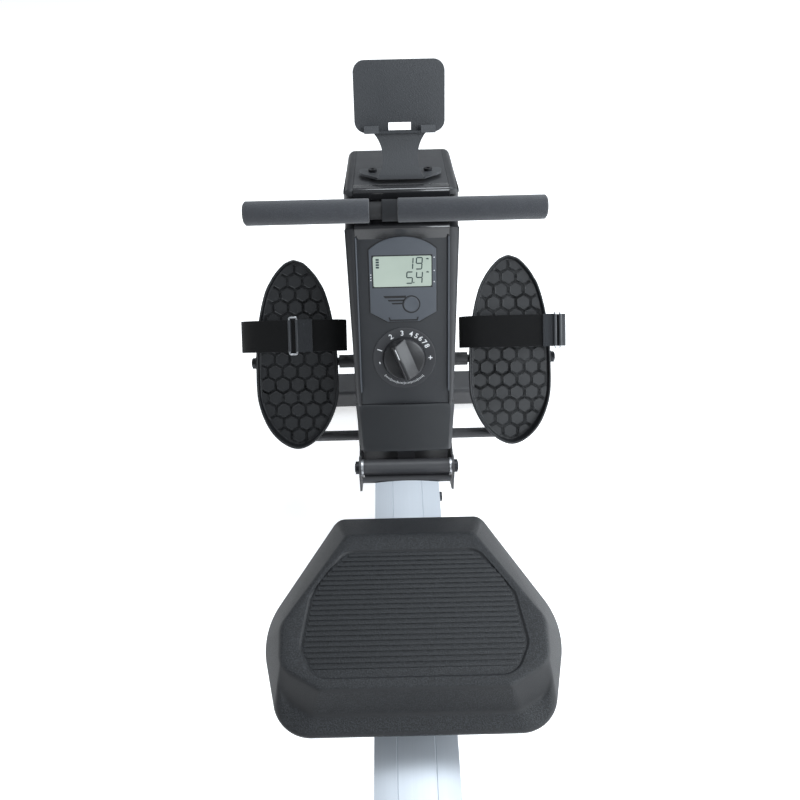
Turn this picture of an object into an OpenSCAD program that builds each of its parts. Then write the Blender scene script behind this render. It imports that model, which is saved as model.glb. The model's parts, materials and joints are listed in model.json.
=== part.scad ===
// Folding magnetic rowing machine. Millimetres, +Z up, +Y towards the flywheel housing.
// The origin is on the floor under the middle of the whole machine.
// "Station" is the distance forward of the rail's front end, so every station sits at Y = station + rail_y.

/* [Rail] */
// Length of the aluminium rail
rail_len = 1330; // [1100:5:1450]
// Width of the rail
rail_w = 88; // [74:1:100]
// Height of the rail's section
rail_h = 48; // [40:1:56]
// Height of the rail's top above the floor
rail_top = 222; // [216:1:232]
// How far the crown of the rail's top stands above its edges
rail_crown = 3.7; // [2:0.1:5]
// Wall of the rail
rail_wall = 2.5; // [2:0.1:4]
// Distance of each groove from the rail's middle
groove_x = 20; // [14:0.5:24]

/* [Fold] */
// Station of the fold's pivot
pivot_s = 21; // [20:0.5:24]
// Height of the pivot above the rail's top
pivot_up = 5; // [3:0.5:7]
// Radius of the pivot bolt
pivot_r = 6; // [5:0.5:7]
// Outer radius of the pivot tube
pivot_tube_r = 11; // [10:0.5:12]
// Clear width between the two cheeks
cheek_gap = 126; // [120:1:132]
// Thickness of the cheek plates
cheek_t = 3; // [2.5:0.5:4]
// Outer radius of the locking quadrant
quadrant_r = 54; // [50:1:55]
// Angle that the rail folds up through
fold_angle = 80; // [70:1:82]
// Radius of the locking pin
lock_r = 4.8; // [4:0.1:6]

/* [Seat] */
// Height of the pad's lower edge above the rail's top
pad_low = 43; // [40:1:50]
// Height of the pad, from its lower edge to its top
pad_h = 45; // [35:1:60]
// Gap from the rail's front end to the front of the pad
pad_gap = 98; // [90:1:120]
// Radius of the upper rollers
roller_r = 18; // [15:0.5:18.5]
// Radius of the lower rollers
keeper_r = 12; // [10:0.5:14]
// Width of every seat roller
roller_w = 16; // [12:1:17]
// Radius of the roller bolts
roller_bolt_r = 4; // [3:0.5:5]

/* [Housing] */
// Width over the two housing shells
housing_w = 146; // [140:1:156]
// Wall of the housing shells
shell = 3; // [2:0.5:4]
// Angle of the console panel above the floor
panel_tilt = 66; // [64:1:68]
// Length of the console panel, from the hinge cover to the handle
panel_len = 237; // [232:1:240]
// Width of the console panel
panel_w = 119.4; // [116:0.2:121]
// Thickness of the console panel
panel_t = 3; // [2:0.5:4]

/* [Console] */
// Width of the computer's bezel
bezel_w = 85; // [80:1:100]
// Height of the computer's bezel
bezel_h = 112; // [108:1:116]
// Place of the bezel's lower edge up the panel
bezel_v = 114; // [112:1:118]
// Width of the display window
lcd_w = 74; // [60:1:78]
// Height of the display window
lcd_h = 41; // [30:1:44]
// Radius of the reset button
button_r = 10; // [7:0.5:12]
// Radius of the resistance knob
knob_r = 28; // [22:1:34]
// Place of the knob up the panel
knob_v = 65; // [60:1:66]
// Radius of the dial plate under the knob
dial_r = 42.5; // [38:0.5:44]

/* [Handle] */
// Length of the handle over both grips
handle_len = 380; // [340:5:400]
// Distance of the handle's middle from the machine's middle
handle_x = -8; // [-10:1:0]
// Radius of the bar
bar_r = 11; // [9:0.5:12]
// Radius of the foam grips
grip_r = 15; // [13:0.5:15.5]
// Place of the pulling belt across the machine
belt_x = -15; // [-18:1:-14]
// Width of the pulling belt
belt_w = 19; // [15:1:20]
// Thickness of the pulling belt
belt_t = 1.6; // [1:0.1:2]

/* [Pedals] */
// Clear width between the housing and each foot plate
pedal_gap = 25.5; // [20:0.5:27]
// Angle of the foot plates above the floor
pedal_tilt = 49.8; // [48:0.1:50]
// Radius of the pedal axle
axle_r = 6; // [5:0.5:7]
// Width of the foot plates at their widest
pedal_w = 125; // [110:1:130]
// Width of the foot straps
strap_w = 46; // [38:1:52]
// How far each strap stands out beyond the foot plate's side
strap_side = 15.5; // [13:0.5:17]
// Height of a strap's top above the axle's line
strap_h = 56; // [50:1:64]

/* [Drive] */
// Radius of the flywheel
flywheel_r = 115; // [100:1:116]
// Radius of the large drive pulley
drive_r = 62; // [50:1:66]
// Radius of the small pulley on the flywheel
small_r = 17.5; // [14:0.5:20]
// Radius of the belt that is wound on the spool
wound_r = 30; // [26:1:34]
// Radius of the guide roller under the cradle
guide_r = 13; // [11:0.5:13.5]

/* [Feet] */
// Width over the floor tubes' end caps
foot_w = 483; // [470:1:520]
// Depth of the floor tubes, front to back
tube_d = 59; // [50:1:62]
// Height of the floor tubes
tube_h = 41; // [36:1:44]
// Height of the floor tubes' underside
tube_z = 13; // [8:1:14]
// Radius of the transport wheels
wheel_r = 20; // [18:1:22]

/* [Hidden] */
$fn = 64;

// Clearances
run = 0.06;      // round parts that turn on each other
gap = 0.3;       // faces that pass each other
fit = 0.2;       // parts that sit in each other

// Stations and heights of the main points
front_s = 387;                                    // front floor tube
rear_s = -rail_len + 12;                          // rear floor tube
cap_lip = 4;                                      // how far an end cap stands over its tube
wheel_s = front_s + tube_d / 2 + wheel_r + 3;
front_end = wheel_s + wheel_r;
rear_end = rear_s - tube_d / 2 - cap_lip;
rail_y = -(front_end + rear_end) / 2;
pivot_z = rail_top + pivot_up;
pedal_half = pedal_w / 2;
pedal_x = housing_w / 2 + pedal_gap + pedal_half;    // middle of each foot plate
strap_half = pedal_half + strap_side;
rail_bottom = rail_top - rail_h;
panel_s = 69;
panel_z = 304;
handle_s = 171;
handle_z = 542;
pedal_s = 197;
pedal_z = 272;
heel_s = 144;
heel_z = 163;
heel_r = 8;
fly_s = 326;
fly_z = 240;
drive_s = 273;
drive_z = 440;
guide_s = 228;
guide_z = handle_z - guide_r - belt_t / 2 - gap;

// ---------- helpers ----------

// A side outline drawn as (station, height), from x0 to x0 + w
module side(x0, w) {
    translate([x0, rail_y, 0]) rotate([90, 0, 90]) linear_extrude(w) children();
}

module at(x, s, z) {
    translate([x, s + rail_y, z]) children();
}

// A round bar along X
module x_rod(r, x0, x1, s, z) {
    at(x0, s, z) rotate([0, 90, 0]) cylinder(r = r, h = x1 - x0);
}

module x_tube(r, bore, x0, x1, s, z) {
    difference() {
        x_rod(r, x0, x1, s, z);
        x_rod(bore, x0 - 1, x1 + 1, s, z);
    }
}

module block(x0, x1, s0, s1, z0, z1) {
    at(x0, s0, z0) cube([x1 - x0, s1 - s0, z1 - z0]);
}

module both_sides() {
    children();
    mirror([1, 0, 0]) children();
}

module rounded_square(w, h, r) {
    translate([0, -h / 2 + r]) translate([-w / 2, 0]) square([w, h - 2 * r]);
    translate([-w / 2 + r, -h / 2]) square([w - 2 * r, h]);
    for (a = [-1, 1], b = [-1, 1]) translate([a * (w / 2 - r), b * (h / 2 - r)]) circle(r);
}

// The console panel's own frame: X across, Y up the panel, Z out of it
module on_panel(x = 0, v = 0, n = 0) {
    at(0, panel_s, panel_z) rotate([panel_tilt, 0, 0]) translate([x, v, n]) children();
}

// A foot plate's own frame: X across, Y towards the toe, Z out of the plate
module on_pedal(side) {
    at(side * pedal_x, pedal_s, pedal_z) rotate([pedal_tilt, 0, 0]) children();
}

// ---------- frame ----------

axle_plate_x = 40;
axle_plate_t = 3;
beam_w = 50;
beam_wall = 2.5;
fork_front = 84;
fork_wide = 66;      // the fork's floor reaches the cheeks from here forward
fork_tongue = 34;
fork_floor = pivot_z - 64;

module beam_outline(inset) {
    polygon([[fork_front - 1 + inset, 210 - inset], [fork_front - 1 + inset, 166 + 1.1 * inset],
        [360, tube_z + tube_h + inset], [front_s + 25 + 10 * inset, tube_z + tube_h + inset],
        [front_s + 25 + 10 * inset, 96 - inset], [330, 104 - inset]]);
}

module axle_plate_outline() {
    polygon([[150, 128], [150, 190], [182, 300], [213.5, guide_z + 11], [250, guide_z + 11],
        [310, drive_z + 25], [352, fly_z + 20], [352, fly_z - 30], [260, 112]]);
}

module main_frame() {
    color("#202124") difference() {
        union() {
            for (x = [-cheek_gap / 2 - cheek_t, cheek_gap / 2]) side(x, cheek_t) {
                translate([pivot_s, pivot_z]) circle(16);
                polygon([[fork_wide - 4, fork_floor - 4], [4, rail_top - 26], [5, pivot_z], [pivot_s + 16, pivot_z + 5],
                    [fork_front, pivot_z + 5], [fork_front, fork_floor - 4]]);
            }
            block(-cheek_gap / 2, cheek_gap / 2, fork_wide, fork_front, fork_floor - 4, fork_floor);
            block(-fork_tongue, fork_tongue, 5, fork_front, fork_floor - 4, fork_floor);
            block(-cheek_gap / 2, cheek_gap / 2, fork_front - 4, fork_front, fork_floor - 1, pivot_z + 5);
            difference() {
                side(-beam_w / 2, beam_w) beam_outline(0);
                side(-beam_w / 2 + beam_wall, beam_w - 2 * beam_wall) beam_outline(3);
            }
            at(0, pivot_s, fork_floor - 30) cylinder(r = 11, h = 28);
            both_sides() {
                side(axle_plate_x, axle_plate_t) axle_plate_outline();
                for (s = [165, 235]) block(beam_w / 2 - 1, axle_plate_x + 1, s, s + 5, 132, 145);
            }
        }
        x_rod(pivot_r + run, -cheek_gap, cheek_gap, pivot_s, pivot_z);
        x_rod(heel_r + run, -beam_w, beam_w, heel_s, heel_z);
        x_rod(axle_r + run, -beam_w, beam_w, pedal_s, pedal_z);
        x_rod(6 + run, -beam_w, beam_w, fly_s, fly_z);
        x_rod(8 + run, -beam_w, beam_w, drive_s, drive_z);
        x_rod(4 + run, -beam_w, beam_w, guide_s, guide_z);
        x_rod(4 + run, -beam_w, beam_w, magnet_s, magnet_z);
        at(0, pivot_s, fork_floor - 50) cylinder(r = lock_r + run, h = 60);
    }
}

// A floor tube across the machine, without its end caps
module floor_tube(s, half, d, h, z) {
    difference() {
        side(-half, 2 * half) translate([s, z + h / 2]) rounded_square(d, h, 8);
        side(-half - 1, 2 * half + 2) translate([s, z + h / 2]) rounded_square(d - 4, h - 4, 6);
    }
}

wheel_x = 170;
wheel_z = wheel_r + 4;
foot_half = foot_w / 2 - 4;

module front_stabilizer() {
    color("#1d1e20") {
        floor_tube(front_s, foot_half, tube_d, tube_h, tube_z);
        both_sides() for (x = [wheel_x - 14, wheel_x + 11]) difference() {
            hull() {
                x_rod(10, x, x + 3, wheel_s, wheel_z);
                block(x, x + 3, front_s + tube_d / 2 - 1, front_s + tube_d / 2, wheel_z - 10, wheel_z + 12);
            }
            x_rod(4 + run, x - 1, x + 4, wheel_s, wheel_z);
        }
    }
}

mid_s = 64;
mid_half = 44;
module mid_foot() {
    color("#1d1e20") {
        floor_tube(mid_s, mid_half, 40, 30, 10);
        difference() {
            block(-20, 20, mid_s - 20, mid_s + 20, 38, fork_floor - 4);
            block(-18, 18, mid_s - 18, mid_s + 18, 37, fork_floor - 3);
        }
    }
}

// One end cap: it covers the tube's end and stands on the floor
module floor_cap(s, half, d, h, z, over, length) {
    difference() {
        side(half - length, length + 4) translate([s, (z + h + over) / 2])
            rounded_square(d + 2 * over, z + h + over, 9);
        side(half - length - 1, length + 1) translate([s, z + h / 2])
            rounded_square(d + 2 * fit, h + 2 * fit, 8);
    }
}

module floor_caps() {
    color("#17181a") both_sides() {
        floor_cap(front_s, foot_half, tube_d, tube_h, tube_z, cap_lip, 34);
        floor_cap(mid_s, mid_half, 40, 30, 10, 3, 20);
        x_rod(heel_r + 1.5, heel_half, heel_half + 4, heel_s, heel_z);
    }
}

module transport_wheel(x) {
    color("#101012") at(x, wheel_s, wheel_z) rotate([0, 90, 0]) rotate_extrude() difference() {
        translate([4 + run, -9]) square([wheel_r - 4 - run, 18]);
        translate([wheel_r, 0]) rotate(45) square(2.2, center = true);
        for (y = [-9, 9]) translate([9.5, y]) square([5, 5], center = true);
    }
}

module wheel_bolts() {
    color("#b9bcc0") both_sides() {
        x_rod(4, wheel_x - 18, wheel_x + 18, wheel_s, wheel_z);
        x_rod(6.5, wheel_x + 14, wheel_x + 18, wheel_s, wheel_z);
        at(wheel_x - 19, wheel_s, wheel_z) rotate([0, 90, 0]) cylinder(r = 7, h = 5, $fn = 6);
    }
}

heel_half = pedal_x + 29;
module heel_rest_bar() {
    color("#1d1e20") x_tube(heel_r, heel_r - 2, -heel_half, heel_half, heel_s, heel_z);
}

// ---------- housing ----------

// Height of the housing's roof at a station
function roof_z(s) = 566 - (s - 184) / 6;
roof_slope = atan(1 / 6);

module housing_outline() {
    difference() {
        offset(r = 20) offset(delta = -20) polygon([[90, 258], [66.3, 302], [184, 566],
            [358, roof_z(358)], [420, 492], [450, 410], [450, 250], [434, 150], [392, 94], [280, 86],
            [180, 104], [90, 164]]);
        translate([handle_s, handle_z]) circle(grip_r + 5);
        translate([handle_s - 60, handle_z - grip_r - 5]) square([60, 80]);
    }
}

// The housing narrows towards the hinge
module housing_plan(inset) {
    polygon([for (p = [[60, 64], [190, housing_w / 2], [470, housing_w / 2]])
        [p[0], p[1] - inset], [470, -1], [60, -1]]);
}

module housing_block(inset) {
    intersection() {
        side(0, housing_w / 2 - inset) offset(delta = -inset) housing_outline();
        at(0, 0, 0) linear_extrude(700) mirror([1, -1]) housing_plan(inset);
    }
}

module housing_half() {
    difference() {
        housing_block(0);
        translate([-1, 0, 0]) housing_block(shell);
        on_panel(0, panel_len / 2, 5) cube([panel_w + 2 * fit, panel_len + 60, 10 + 2 * panel_t + 2 * fit], center = true);
        block(-1, beam_w / 2 + 2, 80, 440, 50, 212);
        x_rod(stub_r + 0.5, 0, 100, pedal_s, pedal_z);
        x_rod(heel_r + 2, 0, 100, heel_s, heel_z);
        block(-1, cradle_half + fit, handle_s - 20, handle_s + 41, handle_z - 42, 600);
        at(screw_x, holder_s + screw_v, 520) cylinder(r = 5, h = 60);
    }
}

module housing_left() {
    color("#1b1b1e") mirror([1, 0, 0]) housing_half();
}

module housing_right() {
    color("#1b1b1e") housing_half();
}

module console_panel() {
    color("#1c1c1f") difference() {
        on_panel(-panel_w / 2, 0, -panel_t) cube([panel_w, panel_len - 14, panel_t]);
        on_panel(-bezel_w / 2 + 5, bezel_v + 5, -panel_t - 1) cube([bezel_w - 10, bezel_h - 16, panel_t + 2]);
        on_panel(0, knob_v, -panel_t - 1) cylinder(r = 6, h = panel_t + 2);
    }
}

cover_tilt = 56.3;
module hinge_cover() {
    color("#1c1c1f") {
        at(0, 32, 248) rotate([cover_tilt, 0, 0]) rotate([-90, 0, 0]) mirror([0, 1]) linear_extrude(60)
            intersection() {
                translate([-64, -20]) square([128, 24]);
                translate([0, -321]) difference() {
                    circle(325, $fn = 256);
                    circle(322, $fn = 256);
                }
            }
        both_sides() side(58, 3) polygon([[34, 246], [60, 295], [63, 295], [85, 256], [85, 247], [50, 245]]);
    }
}

cradle_half = 61;
module handle_cradle() {
    color("#0e0e10") difference() {
        side(-cradle_half, 2 * cradle_half) difference() {
            polygon([[163, 508], [160, 517], [164, handle_z - grip_r - gap], [handle_s, handle_z - grip_r - gap],
                [186, handle_z - 10], [186, handle_z + 14], [191, 561], [202, 559], [206, 552], [206, 532], [196, 508]]);
            translate([handle_s, handle_z]) circle(grip_r + gap);
        }
        block(belt_x - belt_w / 2 - 1.5, belt_x + belt_w / 2 + 1.5, handle_s, 220,
            handle_z - 3.5, handle_z + 3.5);
    }
}

// ---------- phone holder ----------

holder_tilt = 65.2;
holder_s = 214;
holder_t = 2.5;
holder_z = roof_z(holder_s) + gap;
plate_v = 56;         // the plate's lower edge, up the stem
plate_w = 112;
plate_h = 83.5;
ledge_half = 44;
screw_x = 36;
screw_v = 27;         // forward of the bend
ears = [[31, 0], [52, 19], [54, 35], [50, 39]];
module on_holder() {
    at(0, holder_s, holder_z) rotate([holder_tilt, 0, 0]) children();
}

module on_roof() {
    at(0, holder_s, holder_z) rotate([-roof_slope, 0, 0]) children();
}

module phone_holder() {
    color("#17181a") {
        on_holder() linear_extrude(holder_t) difference() {
            union() {
                translate([0, plate_v + plate_h / 2]) rounded_square(plate_w, plate_h, 14);
                difference() {
                    translate([-34, 0]) square([68, plate_v + 3]);
                    both_sides() translate([67, 26.5]) circle(45);
                }
            }
            translate([-14, plate_v + 3]) square([28, 9]);
        }
        on_holder() translate([0, plate_v - 1, 0]) {
            translate([-ledge_half, 0, 0]) cube([2 * ledge_half, 2.5, 13]);
            both_sides() translate([26, 0, 12]) cube([18, 9, 2.5]);
        }
        on_roof() linear_extrude(holder_t) difference() {
            polygon([for (e = ears) e, for (i = [len(ears) - 1 : -1 : 0]) [-ears[i][0], ears[i][1]]]);
            both_sides() translate([screw_x, screw_v]) circle(3.2);
        }
    }
}

module phone_holder_screws() {
    color("#8f9296") on_roof() both_sides() translate([screw_x, screw_v, 0]) {
        translate([0, 0, -10]) cylinder(r = 3, h = 13);
        translate([0, 0, holder_t]) difference() {
            cylinder(r = 5.5, h = 3);
            translate([0, 0, 1.2]) cylinder(r = 2.5, h = 3, $fn = 6);
        }
    }
}

// ---------- console ----------

lcd_v = 161;
button_x = 10.4;
button_v = 138.5;
module computer_case() {
    color("#111113") on_panel(0, bezel_v, 0) difference() {
        union() {
            translate([0, bezel_h / 2, 0]) linear_extrude(2.2) rounded_square(bezel_w, bezel_h, 12);
            translate([-bezel_w / 2 + 6, 6, -15]) cube([bezel_w - 12, bezel_h - 18, 16]);
        }
        translate([-lcd_w / 2 - fit, lcd_v - bezel_v - fit, 0.6]) cube([lcd_w + 2 * fit, lcd_h + 2 * fit, 4]);
        translate([button_x, button_v - bezel_v, -8]) cylinder(r = button_r + 0.3, h = 12);
    }
}

module computer_lcd() {
    color("#9da39a") on_panel(-lcd_w / 2, lcd_v, 0.6) cube([lcd_w, lcd_h, 1]);
}

module reset_button() {
    color("#2a2a2d") on_panel(button_x, button_v, -5.5) cylinder(r = button_r, h = 9);
}

module dial_plate() {
    color("#131315") on_panel(0, knob_v, 0) difference() {
        cylinder(r = dial_r, h = 1.2);
        translate([0, 0, -1]) cylinder(r = 6, h = 4);
    }
}

knob_turn = 22;
knob_bar = 18;
module resistance_knob() {
    color("#19191b") on_panel(0, knob_v, 0) {
        translate([0, 0, 1.6]) cylinder(r = knob_r, h = 5);
        translate([0, 0, -19]) cylinder(r = 5, h = 22);
        rotate(knob_turn) intersection() {
            translate([-knob_bar / 2, -knob_r, 5]) cube([knob_bar, 2 * knob_r, 18]);
            translate([0, 0, 5]) cylinder(r1 = knob_r - 1.2, r2 = knob_r - 5, h = 18);
        }
    }
}

module tension_controller() {
    color("#2c2c30") on_panel(0, knob_v, 0) difference() {
        translate([-21, -16, -30]) cube([42, 32, 26.5]);
        translate([0, 0, -20]) cylinder(r = 5 + run, h = 30);
    }
}

// The brake cable runs from the controller to the magnet bracket on one quarter bend
cable_r = 1.5;
cable_x = -14;
module tension_cable() {
    color("#0c0c0d") at(cable_x, 128, 345.5) {
        rotate([-90, 0, 0]) cylinder(r = cable_r, h = 50);
        translate([0, 50, -40]) rotate([0, -90, 0]) rotate_extrude(angle = 60) translate([40, 0]) circle(cable_r);
    }
}

// ---------- pedals ----------

stub_r = 10;
module pedal_axle() {
    color("#8c8f93") {
        x_rod(axle_r, -pedal_x - pedal_half - 7, pedal_x + pedal_half + 7, pedal_s, pedal_z);
        both_sides() x_rod(stub_r, axle_plate_x + axle_plate_t + gap, pedal_x - pedal_half - 1, pedal_s, pedal_z);
    }
}

module pedal_nuts() {
    color("#a7aaae") both_sides() {
        x_tube(9, axle_r, pedal_x + pedal_half + 0.5, pedal_x + pedal_half + 1.5, pedal_s, pedal_z);
        difference() {
            at(pedal_x + pedal_half + 1.5, pedal_s, pedal_z) rotate([0, 90, 0]) cylinder(r = 8.8, h = 4.5, $fn = 6);
            x_rod(axle_r, pedal_x, pedal_x + 100, pedal_s, pedal_z);
        }
    }
}

// Plan of a foot plate, narrow at the toe and round at the heel: the hull of rounds, each [distance
// towards the toe, how much smaller it is than the widest one]
plan_rounds = [[126, 34.5], [112, 25], [96, 16.5], [70, 8.5], [36, 3], [0, 0], [-40, 0.5], [-62, 2.5],
    [-78, 8.5], [-90, 18.5]];
module pedal_plan(inset) {
    hull() for (c = plan_rounds) translate([0, c[0]]) circle(pedal_half - c[1] - inset, $fn = 64);
}

module pedal() {
    difference() {
        union() {
            translate([0, 0, 2]) linear_extrude(12) pedal_plan(0);
            intersection() {
                linear_extrude(26) pedal_plan(0);
                translate([-80, -140, 2]) cube([160, 46, 24]);
            }
            rotate([0, 90, 0]) translate([0, 0, -pedal_half + 0.5]) cylinder(r = 11, h = pedal_w - 1);
            translate([-20, -124, -21.6]) cube([40, 14, 24]);
        }
        translate([0, 0, 8]) linear_extrude(30) pedal_plan(5);
        rotate([0, 90, 0]) cylinder(r = axle_r + run, h = 200, center = true);
    }
}

module pedal_left() {
    color("#141415") on_pedal(-1) pedal();
}

module pedal_right() {
    color("#141415") on_pedal(1) pedal();
}

strap_u = 39;
strap_t = 2;
shoulder_r = 25;
// The strap's outline across the foot plate, from its side slots up and over the foot
module strap_outline(r) {
    hull() {
        both_sides() {
            translate([strap_half - shoulder_r, strap_h - shoulder_r]) circle(shoulder_r - r, $fn = 48);
            translate([strap_half - 12, 12]) circle(12 - r, $fn = 32);
        }
    }
}

module strap() {
    translate([0, strap_u + strap_w / 2, 0]) rotate([90, 0, 0]) linear_extrude(strap_w) difference() {
        strap_outline(0);
        strap_outline(strap_t);
        translate([-pedal_half - 0.4, -20]) square([2 * pedal_half + 0.8, 34.5]);
    }
}

module strap_left() {
    color("#18181a") on_pedal(-1) strap();
}

module strap_right() {
    color("#18181a") on_pedal(1) strap();
}

// The steel ring that the strap is threaded through, clear of the webbing
module strap_ring() {
    difference() {
        translate([-5, -strap_w / 2 - 5, -4]) cube([10, strap_w + 10, 8]);
        translate([-6, -strap_w / 2 - 1, -3]) cube([12, strap_w + 2, 6]);
    }
}

// The left ring lies on the top of its arch
module strap_ring_left() {
    color("#c8cacd") on_pedal(-1) translate([2, strap_u, strap_h - strap_t / 2]) strap_ring();
}

// The right ring lies on the outer shoulder of its arch, tipped with the webbing
shoulder_turn = 23;
module strap_ring_right() {
    color("#c8cacd") on_pedal(1) translate([strap_half - shoulder_r, strap_u, strap_h - shoulder_r])
        rotate([0, shoulder_turn, 0]) translate([0, 0, shoulder_r - strap_t / 2]) strap_ring();
}

// ---------- drive ----------

belt_plane = 14;
belt_width = 13;
module flywheel() {
    color("#7d8084") {
        at(-20, fly_s, fly_z) rotate([0, 90, 0]) rotate_extrude($fn = 96) difference() {
            union() {
                translate([flywheel_r - 20, 0]) square([20, 28]);
                translate([6 + run, 9]) square([flywheel_r - 20, 9]);
                translate([6 + run, 4]) square([14, 30]);
            }
        }
        x_tube(small_r, 6 + run, belt_plane - 1, belt_plane + belt_width + 2, fly_s, fly_z);
    }
}

module flywheel_axle() {
    color("#a7aaae") x_rod(6, -axle_plate_x - 10, axle_plate_x + 10, fly_s, fly_z);
}

module drive_pulley() {
    color("#2c2c30") at(belt_plane, drive_s, drive_z) rotate([0, 90, 0]) rotate_extrude($fn = 96) {
        translate([drive_r - 8, 0]) square([8, belt_width]);
        translate([8 + run, 4]) square([drive_r - 12, 5]);
        translate([8 + run, 0]) square([10, belt_width]);
    }
}

module pulley_pair(grow) {
    hull() {
        translate([fly_s, fly_z]) circle(small_r + grow, $fn = 64);
        translate([drive_s, drive_z]) circle(drive_r + grow, $fn = 128);
    }
}

module drive_belt() {
    color("#0f0f10") side(belt_plane + 1, belt_width - 2) difference() {
        pulley_pair(gap + 2.4);
        pulley_pair(gap);
    }
}

module drive_axle() {
    color("#a7aaae") x_rod(8, -axle_plate_x - 8, axle_plate_x + 8, drive_s, drive_z);
}

spool_half = belt_w / 2 + 0.5;
module spool() {
    color("#33343a") {
        x_tube(wound_r, 8, belt_x - spool_half, belt_x + spool_half, drive_s, drive_z);
        for (x = [belt_x - spool_half - 2, belt_x + spool_half])
            x_tube(wound_r + 14, 8, x, x + 2, drive_s, drive_z);
    }
}

module spring_case() {
    color("#3a3b40") difference() {
        x_rod(36, -axle_plate_x + gap, belt_x - spool_half - 2 - gap - 0.5, drive_s, drive_z);
        x_rod(8 + gap, -axle_plate_x - 5, 0, drive_s, drive_z);
    }
}

// The brake's magnets sit on an arc over the flywheel's rim and swing away from it on one pin
magnet_from = 104;
magnet_to = 146;
magnet_open = -4;
magnet_s = fly_s + (flywheel_r + 22) * cos(96);
magnet_z = fly_z + (flywheel_r + 22) * sin(96);

module open_brake() {
    translate([0, magnet_s + rail_y, magnet_z]) rotate([magnet_open, 0, 0])
        translate([0, -magnet_s - rail_y, -magnet_z]) children();
}

module rim_arc(r0, r1, from, to) {
    translate([fly_s, fly_z]) difference() {
        intersection() {
            circle(r1, $fn = 128);
            polygon([[0, 0], for (a = [from : (to - from) / 4 : to]) 200 * [cos(a), sin(a)]]);
        }
        circle(r0, $fn = 128);
    }
}

module magnet_bracket() {
    color("#85888c") {
        open_brake() side(-19, 26) {
            rim_arc(flywheel_r + 7, flywheel_r + 10, magnet_from - 8, magnet_to + 3);
            rim_arc(flywheel_r + 9, flywheel_r + 24, magnet_from - 12, magnet_from - 6);
        }
        x_rod(4, -axle_plate_x - 4, axle_plate_x + 4, magnet_s, magnet_z);
    }
}

module magnets() {
    color("#55565a") open_brake() for (a = [magnet_from : 14 : magnet_to - 6])
        side(-17, 22) rim_arc(flywheel_r + 2.5, flywheel_r + 7, a, a + 10);
}

module guide_roller() {
    color("#4a4b50") {
        x_rod(guide_r, belt_x - spool_half - 1, belt_x + spool_half + 1, guide_s, guide_z);
        x_rod(4, -axle_plate_x - 4, axle_plate_x + 4, guide_s, guide_z);
    }
}

// ---------- handle ----------

grip_wall = 3;
handle_left = handle_x - handle_len / 2;
handle_right = handle_x + handle_len / 2;
loop_left = belt_x - belt_w / 2;
loop_right = belt_x + belt_w / 2;
bare = 16;

module handlebar() {
    color("#111112") x_tube(bar_r, bar_r - 2, handle_left + grip_wall, handle_right - grip_wall, handle_s, handle_z);
}

module grip(x0, x1, bore0, bore1) {
    difference() {
        x_rod(grip_r, x0, x1, handle_s, handle_z);
        x_rod(bar_r, bore0, bore1, handle_s, handle_z);
    }
}

module grip_left() {
    color("#26272a") grip(handle_left, loop_left - bare, handle_left + grip_wall, loop_left);
}

module grip_right() {
    color("#26272a") grip(loop_right + 0.5, handle_right, loop_left, handle_right - grip_wall);
}

loop_tail = 8;
module belt_loop() {
    color("#141416") side(loop_left, belt_w) difference() {
        union() {
            translate([handle_s, handle_z]) circle(bar_r + belt_t);
            translate([handle_s, handle_z - belt_t / 2]) square([bar_r + loop_tail, belt_t]);
        }
        translate([handle_s, handle_z]) circle(bar_r);
    }
}

// The belt leaves the loop level, turns over the guide roller and runs down to the spool
belt_mid = guide_r + gap + belt_t / 2;
spool_mid = wound_r + gap + belt_t / 2;
run_len = norm([drive_s - guide_s, drive_z - guide_z]);
run_angle = atan2(drive_z - guide_z, drive_s - guide_s);
leave = run_angle + acos(-(spool_mid - belt_mid) / run_len);

module pull_belt() {
    color("#141416") side(loop_left, belt_w) {
        translate([handle_s + bar_r + loop_tail + 1, handle_z - belt_t / 2])
            square([guide_s - handle_s - bar_r - loop_tail - 1, belt_t]);
        translate([guide_s, guide_z]) difference() {
            intersection() {
                circle(belt_mid + belt_t / 2);
                polygon([[0, 0], [0, 40], [40, 40], 60 * [cos(leave), sin(leave)]]);
            }
            circle(belt_mid - belt_t / 2);
        }
        translate([guide_s + belt_mid * cos(leave), guide_z + belt_mid * sin(leave)])
            rotate(leave - 90) translate([0, -belt_t / 2])
                square([sqrt(pow(run_len, 2) - pow(spool_mid - belt_mid, 2)), belt_t]);
    }
}

// ---------- rail ----------

module rail_outline() {
    crown_r = (pow(rail_w / 2, 2) + pow(rail_crown, 2)) / (2 * rail_crown);
    difference() {
        intersection() {
            translate([0, rail_top - rail_h / 2]) rounded_square(rail_w, rail_h, 3);
            translate([0, rail_top - crown_r]) circle(crown_r, $fn = 256);
        }
        both_sides() translate([groove_x, rail_top]) rotate(45) square(1.9, center = true);
    }
}

rail_inner_top = rail_top - rail_crown - rail_wall - 0.5;
module rail() {
    color("#c9ccd1") difference() {
        at(0, 0, 0) rotate([90, 0, 0]) linear_extrude(rail_len) difference() {
            rail_outline();
            for (x = [-1, 1])
                translate([x * (rail_w - rail_wall) / 4, (rail_inner_top + rail_bottom + rail_wall) / 2])
                    square([(rail_w - 3 * rail_wall) / 2, rail_inner_top - rail_bottom - rail_wall], center = true);
        }
        for (s = bolt_s) x_rod(4 + run, -rail_w, rail_w, s, bolt_z);
    }
}

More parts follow.
